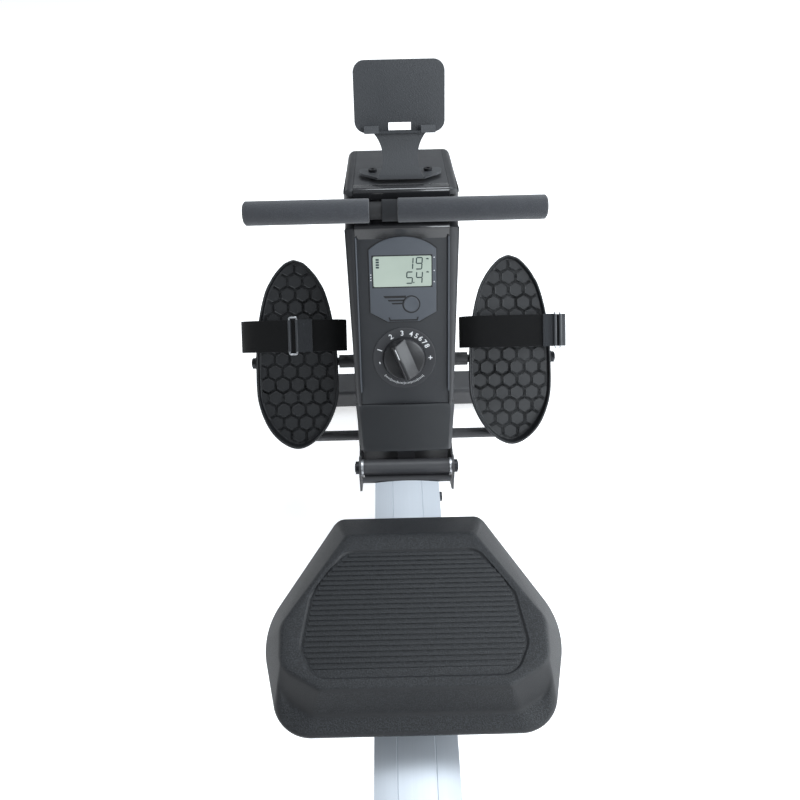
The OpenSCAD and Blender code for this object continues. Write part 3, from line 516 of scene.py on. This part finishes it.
def seat_pad():
    bm = bmesh.new()
    count = 144
    low, top = rounded(mirrored(LOWER), count), rounded(mirrored(UPPER), count)
    middle = Vector((0, -150))

    def level(outline, z, grow=0.0):
        return [Vector((x, y, PAD_LOW + z)) + Vector((x - middle.x, y - middle.y, 0)).normalized() * grow
                for x, y in outline]

    shelf = []
    for k, ((lx, ly), (tx, ty)) in enumerate(zip(low, top)):
        turn = max(0.0, min(1.0, (-math.sin(TAU * (k + 0.5) / count) - 0.3) / 0.6))
        rear = turn * turn * (3 - 2 * turn)
        out, z = 0.45 - 0.03 * rear, 27.5 - 13.5 * rear
        shelf.append(Vector((tx + (lx - tx) * out, ty + (ly - ty) * out, PAD_LOW + z)))
    groove, bed = rounded(mirrored(INSET), count, 2.4), rounded(mirrored(INSET), count, 0.4)
    hollow = rounded(mirrored(INSET), count, -1.4)
    rings = [level(low, 0, -9), level(low, 0.3, -1), level(low, 6.5), shelf,
             level(top, 44.0), level(top, 44.8, -9),
             level(groove, 44.9), level(bed, 42.6), level(hollow, 43.4)]
    bridge(bm, eased(rings, (1.5, 5, 5, 5.5, 2, 1.0, 1.0)))
    edge = rounded(mirrored(INSET), 720, -2.0)
    pitch = 6.0
    for k in range(23):
        y = -81.5 - pitch * k
        spans = [x1 + (x2 - x1) * (y - y1) / (y2 - y1)
                 for (x1, y1), (x2, y2) in zip(edge, edge[1:] + edge[:1])
                 if (y1 - y) * (y2 - y) < 0]
        if spans:
            rib = bmesh.ops.create_cube(bm, size=1, matrix=Matrix.Translation((0, y, PAD_TOP - 1.9))
                                        @ Matrix.Diagonal((2 * max(spans), pitch * 0.8, 2.6, 1)))
            soften(bm, {e for v in rib["verts"] for e in v.link_edges}, 0.9, 3)
    obj = piece("seat_cushion", bm, SKIN, "seat", ["seat_pad"],
                FLAT @ Matrix.Translation((0, PAD_BACK, 0)), sharp=50)


# ---------- foot plates ----------

# Half widths of the foot plate, from toe to heel: (distance towards the toe, half width)
PLAN = [(154, 0), (150.5, 11), (146, 18), (136, 27.5), (124, 36), (104, 46), (66, 55.5), (14, 61.5),
        (-17, 62.3), (-38, 62.3), (-57, 60.8), (-77, 55), (-97.5, 45), (-114, 32), (-126, 16), (-130.5, 0)]
FLOOR = 8.0


def rim_height(u):
    rise = max(0.0, min(1.0, (-50 - u) / 70))
    return 12.4 + 13.4 * rise * rise * (3 - 2 * rise)


def plate_outline():
    """The foot plate's outline as points (across, along), with each point's outward direction."""
    right = [Vector((half, u, 0)) for u, half in PLAN]
    left = [Vector((-half, u, 0)) for u, half in PLAN[-2:0:-1]]
    loop = right + left
    curve = smooth_path(loop + loop[:3], 5)
    points = curve[:len(loop) * 5]
    ways = []
    for i, p in enumerate(points):
        ahead = points[(i + 1) % len(points)] - points[i - 1]
        ways.append(Vector((-ahead.y, ahead.x, 0)).normalized())
    if ways[20].x < 0:
        ways = [-w for w in ways]
    return points, ways


def foot_plate(side):
    name = "left" if side < 0 else "right"
    bm = bmesh.new()
    points, ways = plate_outline()

    def ring(grow, height, rim=False):
        return [Vector((p.x + w.x * grow, p.y + w.y * grow, (rim_height(p.y) if rim else 0) + height))
                for p, w in zip(points, ways)]

    rings = [ring(-9, 0.6), ring(-2, 1.6), ring(-0.3, 7), ring(-0.3, 0, True), ring(-3.4, 0.1, True),
             ring(-5.2, FLOOR), ring(-8, FLOOR)]
    bridge(bm, eased(rings, (2, 2, 1.3, 1.3, 1.5), 3))
    heel_block = ((0, -117, -9.6), (40, 14, 24))
    ribs = [((x, -6, -2), (3, long, 8)) for x, long in ((-42, 150), (42, 150), (-21, 190), (21, 190))]
    for spot, size in [heel_block] + ribs:
        where = Matrix.Translation(spot) @ Matrix.Diagonal((*size, 1))
        block = bmesh.ops.create_cube(bm, size=1, matrix=where)
        soften(bm, {e for v in block["verts"] for e in v.link_edges}, 0.7, 2)
    lathe(bm, [(7.7, -60), (7.7, 60), (6.1, 60), (6.1, -60), (7.7, -60)], 40)
    piece("foot_plate_" + name, bm, PEDAL_SKIN, "pedal_" + name, ["pedal_" + name],
          pedal_frame(side))
    hexagons(name, side, points, ways)


def hexagon(x, y, across):
    reach = across / math.sqrt(3)
    turns = [math.radians(30 + 60 * k) for k in range(6)]
    return [(x + reach * math.cos(a), y + reach * math.sin(a)) for a in turns]


def hexagons(name, side, points, ways):
    """Raised hexagonal rims all over the foot plate, cut where they meet its edge."""
    bm = bmesh.new()
    pitch = 22.4
    for row in range(-7, 8):
        for col in range(-3, 4):
            x, y = (col + 0.5 * (row % 2)) * pitch, row * pitch * 0.866 + 5
            cell = bmesh.new()
            top = prism(cell, hexagon(x, y, 18.6), FLOOR - 0.5, FLOOR + 0.7)
            bmesh.ops.inset_individual(cell, faces=[top], thickness=1.1)
            bmesh.ops.translate(cell, verts=top.verts, vec=(0, 0, -0.6))
            soften(cell, ring_edges(cell, lambda c: c.z > FLOOR + 0.65), 0.32, 2)
            for p, way in zip(points, ways):
                edge = p.dot(way) - 6.2
                if not cell.verts or max(v.co.dot(way) for v in cell.verts) <= edge:
                    continue
                cut = bmesh.ops.bisect_plane(cell, geom=cell.verts[:] + cell.edges[:] + cell.faces[:],
                                             plane_co=way * edge, plane_no=way, clear_outer=True)
                open_edges = [e for e in cut["geom_cut"] if isinstance(e, bmesh.types.BMEdge)]
                bmesh.ops.holes_fill(cell, edges=open_edges)
            if cell.faces:
                join(bm, cell)
            else:
                cell.free()
    piece("foot_plate_hexagons_" + name, bm, PEDAL_SKIN, "pedal_" + name, (),
          pedal_frame(side), sharp=20)


STRAP_U, STRAP_HALF = 39, 23
ARCH = [(-62.8, 4), (-70, 12), (-76.5, 26), (-74, 41), (-60, 51.5), (-38, 55), (0, 56), (38, 55), (60, 51.5),
        (74, 41), (76.5, 26), (70, 12), (62.8, 4)]


# Where the webbing lies double, for each side: from, to and how far above the strap
PATCHES = {-1: [(8, 31, 1.9)], 1: [(39, 60, 1.9), (65, 77, 1.6)]}


def outward(point):
    """The way that the strap faces there: up on its top, outwards on its shoulder."""
    lean = max(-1.0, min(1.0, (abs(point.x) - 53) / 24))
    sine = math.copysign(max(0.0, lean), point.x)
    return Vector((sine, 0, math.sqrt(1 - sine * sine)))


def strap(side):
    """The foot strap: webbing over the foot, a steel ring and a hook-and-loop end."""
    name = "left" if side < 0 else "right"
    into = pedal_frame(side)
    points = smooth_path([Vector((x, STRAP_U, h)) for x, h in ARCH], 8)
    to_metres = [into @ p for p in points]
    across = (into.to_3x3() @ Vector((0, 1, 0))).normalized()
    bm = bmesh.new()
    strip(bm, to_metres, STRAP_HALF * MM, 2 * MM, across)
    obj = piece("strap_webbing_" + name, bm, WEB, "pedal_" + name, ["strap_" + name])
    obj.modifiers.new("edge", "BEVEL").width = 0.0006
    for number, (first, last, lift) in enumerate(PATCHES[side]):
        run = [p for p in points if first < p.x < last]
        patch = [into @ (p + outward(p) * (lift + 0.35 * math.sin(i * 1.9))) for i, p in enumerate(run)]
        bm = bmesh.new()
        strip(bm, patch, (STRAP_HALF + 0.5) * MM, 2.2 * MM, across)
        piece(f"strap_hook_end_{name}_{number}", bm, HOOK, "pedal_" + name)
    seat = Matrix.Translation((2, STRAP_U, 55))
    if side > 0:
        seat = (Matrix.Translation((53, STRAP_U, 31)) @ Matrix.Rotation(math.radians(23), 4, "Y")
                @ Matrix.Translation((0, 0, 24)))
    reach = 3.4 if side < 0 else 2.4
    corners = rounded([(x, y, 2) for x in (-reach, reach) for y in (-24.6, 24.6)], 48)
    bm = bmesh.new()
    loops = []
    for k, (px, py) in enumerate(corners):
        ahead = (Vector(corners[(k + 1) % 48]) - Vector(corners[k - 1])).normalized()
        out = Vector((ahead.y, -ahead.x, 0))
        centre = Vector((px, py, 2.2))
        loops.append([seat @ (centre + 1.3 * (math.cos(a) * out + math.sin(a) * Vector((0, 0, 1))))
                      for a in (TAU * j / 10 for j in range(10))])
    bridge(bm, loops + [loops[0]], False, False)
    piece("strap_ring_wire_" + name, bm, PLATED, "pedal_" + name, ["strap_ring_" + name],
          into)
    bm = bmesh.new()
    for x in (-reach - 2, reach + 2):
        roll = bmesh.new()
        lathe(roll, [(0, -22.8), (2.2, -22.8), (2.6, -22), (2.6, 22), (2.2, 22.8), (0, 22.8)], 20)
        roll.transform(seat @ Matrix.Translation((x, 0, 2.0)) @ Matrix.Rotation(math.pi / 2, 4, "Z"))
        join(bm, roll)
    piece("strap_ring_turns_" + name, bm, HOOK_ROLL, "pedal_" + name, (), into)


# ---------- housing ----------

# Corners of the housing seen from the side: station, height and the radius of the corner
BODY = [(358, 533, 30), (414, 494, 26), (449, 412, 40), (449, 250, 40), (434, 152, 30), (394, 98, 26),
        (282, 88, 30), (182, 106, 30), (92, 166, 14), (92, 256, 3)]
PANEL_FOOT = (66.3, 301)
TROUGH = (171, 542)         # centre of the handle at rest
SADDLE_R = 15.6
HALF = 73
INNER = 59.7
WALL = 3


def filleted(corners, steps=6):
    """The outline through corners (x, y, radius), each rounded: points (x, y, how far it can be inset)."""
    points = []
    for i, (x, y, r) in enumerate(corners):
        here = Vector((x, y))
        to_last = (Vector(corners[i - 1][:2]) - here).normalized()
        to_next = (Vector(corners[(i + 1) % len(corners)][:2]) - here).normalized()
        half = to_last.angle(to_next) / 2
        if r == 0 or half > 1.53:
            points.append((x, y, 100))
            continue
        centre = here + (to_last + to_next).normalized() * (r / math.sin(half))
        first = here + to_last * (r / math.tan(half)) - centre
        sweep = (2 * half - math.pi) * (1 if to_last.cross(to_next) > 0 else -1)
        for k in range(steps + 1):
            points.append((*(centre + Matrix.Rotation(sweep * k / steps, 2) @ first), 0.85 * r))
    return points


def inset(points, depth, height):
    """The outline moved inwards, for an outline that runs clockwise, at that height."""
    moved = []
    for i, (x, y, limit) in enumerate(points):
        last, after = Vector(points[i - 1][:2]), Vector(points[(i + 1) % len(points)][:2])
        way = (after - last).normalized() * min(depth, limit)
        moved.append((x + way.y, y - way.x, height))
    return moved


def side_outline(recess, hollow):
    """The housing from the side, with its hollow for the handle and the panel set back by recess."""
    tilt = math.radians(66)
    up = Vector((math.cos(tilt), math.sin(tilt)))
    foot = Vector(PANEL_FOOT) + Vector((up.y, -up.x)) * recess
    turns = [math.radians(a) for a in range(-85, 36, 8)]
    arc = [(TROUGH[0] + hollow * math.cos(a), TROUGH[1] + hollow * math.sin(a), 0) for a in turns]
    corners = [(*foot, 14), (*(foot + up * 241), 3)] + arc + [(190, 561, 7)] + BODY
    return filleted(corners)


def narrowed(verts):
    """The shells' sides draw in towards the hinge."""
    for v in verts:
        if v.co.z > INNER + 0.5:
            share = max(0.0, min(1.0, (v.co.x - 66) / 100))
            v.co.z = INNER + (v.co.z - INNER) * (0.42 + 0.58 * share * (2 - share))


def housing_half(side):
    name = "left" if side < 0 else "right"
    bm = bmesh.new()
    outer = side_outline(0, 20)
    curve = 10
    rings = [inset(outer, 1.2, INNER), inset(outer, 0, INNER + 1.2)]
    for k in range(9):
        a = math.radians(90 * k / 8)
        rings.append(inset(outer, curve * (1 - math.cos(a)), HALF - curve * (1 - math.sin(a))))
    bridge(bm, rings)
    narrowed(bm.verts)
    band = side_outline(3.2, 17.3)
    seam = 0.1
    rings = [inset(band, 0, seam + 0.3), inset(band, 0, INNER + 0.6), inset(band, WALL, INNER + 0.6),
             inset(band, WALL, seam), inset(band, 0.3, seam), inset(band, 0, seam + 0.3)]
    bridge(bm, rings, False, False)
    if side < 0:
        bmesh.ops.scale(bm, vec=(1, 1, -1), verts=bm.verts)
    piece("housing_shell_" + name, bm, SHELL, "frame", ["housing_" + name], SIDE)


def panel_plate():
    bm = bmesh.new()
    top = prism(bm, [(-59.2, 0), (59.2, 0), (59.2, 226), (-59.2, 226)], -3, -0.4)
    soften(bm, top.edges, 0.7, 2)
    piece("panel_face", bm, PANEL_SKIN, "frame", ["console_panel"], PANEL)
    # Edge beads down both sides of the panel, in the pale bezel plastic: a painted highlight for the bright
    # lines along the panel's edges.
    bm = bmesh.new()
    for side in (-1, 1):
        block = bmesh.ops.create_cube(bm, size=1, matrix=Matrix.Translation((side * 59.2, 122, 1.0))
                                      @ Matrix.Diagonal((2.0, 208, 5.0, 1)))
        soften(bm, {e for v in block["verts"] for e in v.link_edges}, 0.95, 4)
    piece("panel_edge_beads_painted_highlight", bm, BEZEL_AND_PAINTED_HIGHLIGHT, "frame", (), PANEL)


def hinge_hood():
    """The crowned cover between the console and the rail."""
    bm = bmesh.new()
    rings = []
    for k in range(9):
        t = k / 8
        half = 64 + 5 * t
        ring = []
        for j in range(25):
            a = -1 + 2 * j / 24
            drop = 5.5 * a * a + 9 * max(0.0, abs(a) - 0.93) / 0.07
            ring.append((half * a, t * 66, 3.5 - drop))
        rings.append([bm.verts.new(p) for p in ring])
    for a, b in zip(rings, rings[1:]):
        for j in range(24):
            bm.faces.new((a[j], a[j + 1], b[j + 1], b[j]))
    bmesh.ops.recalc_face_normals(bm, faces=bm.faces)
    bmesh.ops.solidify(bm, geom=bm.faces[:], thickness=2.5)
    hood = piece("hinge_hood", bm, PANEL_SKIN, "frame", ["hinge_cover"],
                 leaning(32, 248, 56.3))
    hood.modifiers.new("edge", "BEVEL").width = 0.0008


def cradle():
    """The polished saddle that the handle rests in."""
    bm = bmesh.new()
    turns = [math.radians(a) for a in range(-90, 31, 6)]
    arc = [(TROUGH[0] + SADDLE_R * math.cos(a), TROUGH[1] + SADDLE_R * math.sin(a), 0) for a in turns]
    behind = [(186, 563.5, 5), (206, 559.5, 4), (206, 530, 1), (196, 507, 1)]
    profile = filleted([(160, 507, 1), (161.5, 526.2, 6)] + arc + behind)
    prism(bm, [p[:2] for p in profile], -60.2, 60.2)
    soften(bm, ring_edges(bm, lambda c: abs(c.z) > 60), 0.8, 2)
    for x in (-38, 38):
        nib = Matrix.Translation((196, 561, x)) @ Matrix.Diagonal((10, 1.6, 1.6, 1))
        bmesh.ops.create_cube(bm, size=1, matrix=nib)
    piece("handle_saddle", bm, GLOSS, "frame", ["handle_cradle"], SIDE, sharp=50)


# ---------- console ----------

def arch_outline(grow=0.0):
    """The computer's bezel: arched over the display, straight sides, cut lower corners."""
    half, rise, spring = 43.5 + grow, 16, 210 + grow
    end = math.radians(48)
    turns = [math.radians(a) for a in range(-48, 49, 6)]
    top = [(half * math.sin(a) / math.sin(end),
            spring + rise * (math.cos(a) - math.cos(end)) / (1 - math.cos(end))) for a in turns]
    low = [(half, 128), (21 + grow, 115.5 - grow), (-21 - grow, 115.5 - grow), (-half, 128)]
    return top + low


def computer():
    bm = bmesh.new()
    top = prism(bm, arch_outline(), -3.0, 1.6)
    soften(bm, top.edges, 0.9, 3)
    piece("computer_bezel", bm, BEZEL_AND_PAINTED_HIGHLIGHT, "frame", ["computer_case"], PANEL)
    bm = bmesh.new()
    prism(bm, arch_outline(1.1), -3.0, 0.15)
    piece("computer_joint_line", bm, DARK_PLASTIC, "frame", (), PANEL)
    bm = bmesh.new()
    top = prism(bm, [(-40, 160.5), (38.5, 160.5), (38.5, 203), (-40, 203)], -2.0, 1.75)
    soften(bm, top.edges, 0.3, 1)
    piece("display_frame", bm, DARK_PLASTIC, "frame", (), PANEL)
    bm = bmesh.new()
    prism(bm, rounded([(x, y, 2.2) for x in (-36, 34.8) for y in (164.3, 199.2)], 48), 0.5, 1.95)
    piece("display_glass", bm, DISPLAY, "frame", ["computer_lcd"], PANEL)
    bm = bmesh.new()
    for x0, x1, v, h in ((-26, 4, 148.6, 3.0), (-20.5, 1.5, 143.8, 2.2), (-15.5, -1, 139.8, 2.0)):
        low, high = v - h / 2, v + h / 2
        prism(bm, [(x0, high), (x0 + h * 0.7, low), (x1 - 1, low), (x1, high)], 1.2, 1.75)
    prism(bm, [(-20, 121.5), (-18.5, 116.5), (18.5, 116.5), (20, 121.5), (18, 121.5), (17, 118.3),
               (-17, 118.3), (-18, 121.5)], 1.2, 1.8)
    piece("bezel_slots", bm, DARK_PLASTIC, "frame", (), PANEL)
    bm = bmesh.new()
    for x, v in ((40.6, 199), (40.6, 182), (40.6, 167.5), (-41.4, 178), (-41.4, 174.5), (-41.4, 171)):
        bmesh.ops.create_circle(bm, segments=12, radius=0.75, cap_ends=True,
                                matrix=Matrix.Translation((x, v, 1.72)))
    piece("bezel_dots", bm, WHITE_INK, "frame", (), PANEL)
    bm = bmesh.new()
    lathe(bm, [(0, -8), (9.6, -8), (10, -7.6), (10, 2.0), (9.3, 2.7), (7.5, 2.5), (0, 2.2)], 48)
    bm.transform(UPRIGHT)
    button = PANEL @ Matrix.Translation((10.4, 138.5, 0))
    piece("button_cap", bm, BEZEL_AND_PAINTED_HIGHLIGHT, "reset_button", ["reset_button"], button)
    bm = bmesh.new()
    lathe(bm, [(10.3, 0.5), (11.8, 0.5), (11.8, 1.75), (10.3, 1.75), (10.3, 0.5)], 48)
    bm.transform(UPRIGHT)
    piece("button_rim", bm, DARK_PLASTIC, "frame", (), button)
    segments()


DIGITS = {"1": "bc", "9": "abcdfg", "5": "acdfg", "4": "bcfg"}
SPOTS = {"a": (0, 1, 1, 1), "b": (1, 1, 1, 0.5), "c": (1, 0.5, 1, 0), "d": (0, 0, 1, 0), "f": (0, 0.5, 0, 1),
         "g": (0, 0.5, 1, 0.5)}
INK_LAYER = (1.96, 2.06)    # under and top of the display's figures


def bar(bm, x0, y0, x1, y1, wide):
    """One segment of a figure, pointed at both ends."""
    a, b = Vector((x0, y0)), Vector((x1, y1))
    way = (b - a).normalized()
    out = Vector((-way.y, way.x)) * wide / 2
    inner_a, inner_b = a + way * wide / 2, b - way * wide / 2
    corners = (a, inner_a + out, inner_b + out, b, inner_b - out, inner_a - out)
    prism(bm, [tuple(p) for p in corners], *INK_LAYER)


def segments():
    """The display's figures, its two small arrows and the battery mark."""
    bm = bmesh.new()
    wide, tall, lean = 7.4, 14.6, 0.07
    for figure, x, y in (("1", 5.2, 184.4), ("9", 17, 184.4), ("5", 4.4, 166.2), ("4", 17, 166.2)):
        for mark in DIGITS[figure]:
            u0, v0, u1, v1 = SPOTS[mark]
            bar(bm, x + u0 * wide + v0 * tall * lean, y + v0 * tall,
                x + u1 * wide + v1 * tall * lean, y + v1 * tall, 1.5)
    prism(bm, [(13.4, 166.4), (14.9, 166.4), (14.9, 167.9), (13.4, 167.9)], *INK_LAYER)
    for y in (197, 180):
        prism(bm, [(29.5, y), (31.5, y + 1.6), (33.5, y + 1.0), (33.5, y - 0.6)], *INK_LAYER)
    for k in range(4):
        y = 186.2 + 3.3 * k
        prism(bm, [(-34.6, y), (-30.4, y), (-30.4, y + 2.3), (-34.6, y + 2.3)], *INK_LAYER)
    piece("display_figures", bm, LCD_INK, "frame", (), PANEL)


KNOB = PANEL @ Matrix.Translation((0, 65, 0))
KNOB_TURN = Matrix.Rotation(math.radians(22), 3, "Z")


def dial():
    bm = bmesh.new()
    lathe(bm, [(6.2, 0), (42, 0), (42, 0.8), (41.4, 1.2), (28.9, 1.2), (28.6, 0.8), (6.2, 0.8),
               (6.2, 0)], 96)
    bm.transform(UPRIGHT)
    piece("dial_disc", bm, BEZEL_DARK, "frame", ["dial_plate"], KNOB)
    bm = bmesh.new()
    marks = [("1", 160), ("2", 120), ("3", 94), ("4", 74), ("5", 61.5), ("6", 50.5), ("7", 39), ("8", 28.5),
             ("+", 0), ("-", 190)]
    for words, angle in marks:
        a = math.radians(angle)
        matrix = (Matrix.Translation((34.4 * math.cos(a), 34.4 * math.sin(a), 1.25))
                  @ Matrix.Rotation(a - math.pi / 2, 4, "Z"))
        mesh = written(words, 11 if words in "+-" else 9.6, matrix, 0.12)
        bm.from_mesh(mesh)
        bpy.data.meshes.remove(mesh)
    for k in range(31):
        a = math.radians(222 + 3.1 * k)
        tick = bmesh.new()
        size = Matrix.Diagonal((3.6 if k % 5 == 0 else 2.2, 0.55, 0.16, 1))
        bmesh.ops.create_cube(tick, size=1, matrix=Matrix.Rotation(a, 4, "Z")
                              @ Matrix.Translation((35.2, 0, 1.22)) @ size)
        join(bm, tick)
    piece("dial_print", bm, WHITE_INK, "frame", (), KNOB)


def knob():
    bm = bmesh.new()
    lathe(bm, [(0, -18), (5, -18), (5, 1.6), (28, 1.6), (28, 5), (27, 7.2), (24.5, 8.2), (0, 8.2)], 72)
    bm.transform(UPRIGHT)
    grip = bmesh.new()
    prism(grip, [(-11, -26.5), (12, -26.5), (12, 26.5), (-11, 26.5)], 7, 22)
    for v in grip.verts:
        if v.co.z > 20:
            v.co.x = -7 if v.co.x < 0 else -2.5
            v.co.y *= 0.93
    soften(grip, grip.edges[:], 1.6, 3)
    bmesh.ops.rotate(grip, verts=grip.verts, matrix=KNOB_TURN)
    join(bm, grip)
    piece("knob_body", bm, KNOB_SKIN, "resistance_knob", ["resistance_knob"], KNOB, sharp=28)
    bm = bmesh.new()
    prism(bm, [(-5.2, 6), (-4.2, 6), (-4.2, 21), (-5.2, 21)], 21.9, 22.15)
    bmesh.ops.rotate(bm, verts=bm.verts, matrix=KNOB_TURN)
    piece("knob_pointer", bm, WHITE_INK, "resistance_knob", (), KNOB)


# ---------- handle ----------

HANDLE = FLAT @ Matrix.Translation((0, *TROUGH))
BAR_R = 11.05
GRIP_R = 15


def sleeve(name, node, x0, x1):
    """A foam grip with soft ends."""
    bm = bmesh.new()
    near = [(BAR_R, x0), (GRIP_R - 1.6, x0), (GRIP_R - 0.4, x0 + 0.5), (GRIP_R, x0 + 1.8)]
    far = [(GRIP_R, x1 - 1.8), (GRIP_R - 0.4, x1 - 0.5), (GRIP_R - 1.6, x1), (BAR_R, x1)]
    lathe(bm, near + far + near[:1], 64)
    obj = piece(name, bm, FOAM, "handle", [node], HANDLE)


def end_plug(name, x, way):
    bm = bmesh.new()
    lathe(bm, [(0, x), (11, x), (12.6, x), (12.9, x + way * 0.7), (11.5, x + way * 1.6),
               (0, x + way * 2.0)], 48)
    piece(name, bm, RUBBER, "handle", (), HANDLE)


def handle():
    low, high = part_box("grip_left"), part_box("grip_right")
    sleeve("foam_grip_left", "grip_left", low[0].x / MM + 2, low[1].x / MM)
    sleeve("foam_grip_right", "grip_right", high[0].x / MM, high[1].x / MM - 2)
    end_plug("grip_end_left", low[0].x / MM + 2, -1)
    end_plug("grip_end_right", high[1].x / MM - 2, 1)
    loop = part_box("belt_loop")
    centre = (loop[0].x + loop[1].x) / 2
    half = (loop[1].x - loop[0].x) / 2
    middle = place(0, *TROUGH)
    turn = [middle + Vector((centre, 0.0125 * math.cos(a), 0.0125 * math.sin(a)))
            for a in (math.radians(d) for d in range(0, 361, 10))]
    bm = bmesh.new()
    strip(bm, turn, half, 0.0022, Vector((1, 0, 0)))
    piece("belt_loop_webbing", bm, LOOP_WEB, "handle", ["belt_loop"])
    bm = bmesh.new()
    lathe(bm, [(BAR_R, -5.6), (13.6, -5.6), (13.6, -4.2), (BAR_R, -4.2), (BAR_R, -5.6)], 48)
    piece("grip_collar", bm, RUBBER, "handle", (), HANDLE)
    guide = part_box("guide_roller")
    top = guide[1].z + 0.0011
    roller = Vector((centre, (guide[0].y + guide[1].y) / 2, (guide[0].z + guide[1].z) / 2))
    reach = top - roller.z
    start = middle.y + 0.0135
    route = [Vector((centre, start + (roller.y - start) * k / 40, top)) for k in range(41)]
    route += [roller + Vector((0, reach * math.cos(a), reach * math.sin(a)))
              for a in (math.radians(d) for d in range(84, 36, -8))]
    away = Vector((0, math.sin(math.radians(37.3)), -math.cos(math.radians(37.3))))
    route += [route[-1] + away * 0.012 * k for k in range(1, 8)]
    bm = bmesh.new()
    strip(bm, route, half, 0.0016, Vector((1, 0, 0)))
    band = piece("pulling_belt", bm, WEB, None, ["pull_belt"])
    return band, route[0], roller


def blend_belt(band, start, roller):
    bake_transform(band)


# ---------- finishes for the carried-over parts ----------

def dress():
    finishes = {
        "black_steel": STEEL_BLACK, "black_plastic": SHELL, "gloss_black": GLOSS, "bright_steel": PLATED,
        "cast_iron": IRON, "pedal_plastic": PEDAL_SKIN, "webbing": RUBBER, "rubber": RUBBER, "foam": FOAM,
        "aluminium": ANODISED, "seat_skin": SKIN, "lcd_glass": DISPLAY,
    }
    chosen = {part["node"]: finishes[part["material_slot"]] for part in frame["record"]["subparts"]}
    chosen.update(phone_holder=PLATE, pedal_axle=STEEL_BLACK, handlebar=DARK_PLASTIC)
    for node in ("phone_holder_screws", "pivot_bolt", "rail_bolts", "pedal_nuts", "wheel_bolts"):
        chosen[node] = BLACKED
    for node, obj in frame["nodes"].items():
        for slot in obj.material_slots:
            slot.material = chosen[node]


camera()
studio()
dress()
seat_pad()
for which in (-1, 1):
    foot_plate(which)
    strap(which)
    housing_half(which)
panel_plate()
hinge_hood()
cradle()
computer()
dial()
knob()
blend_belt(*handle())
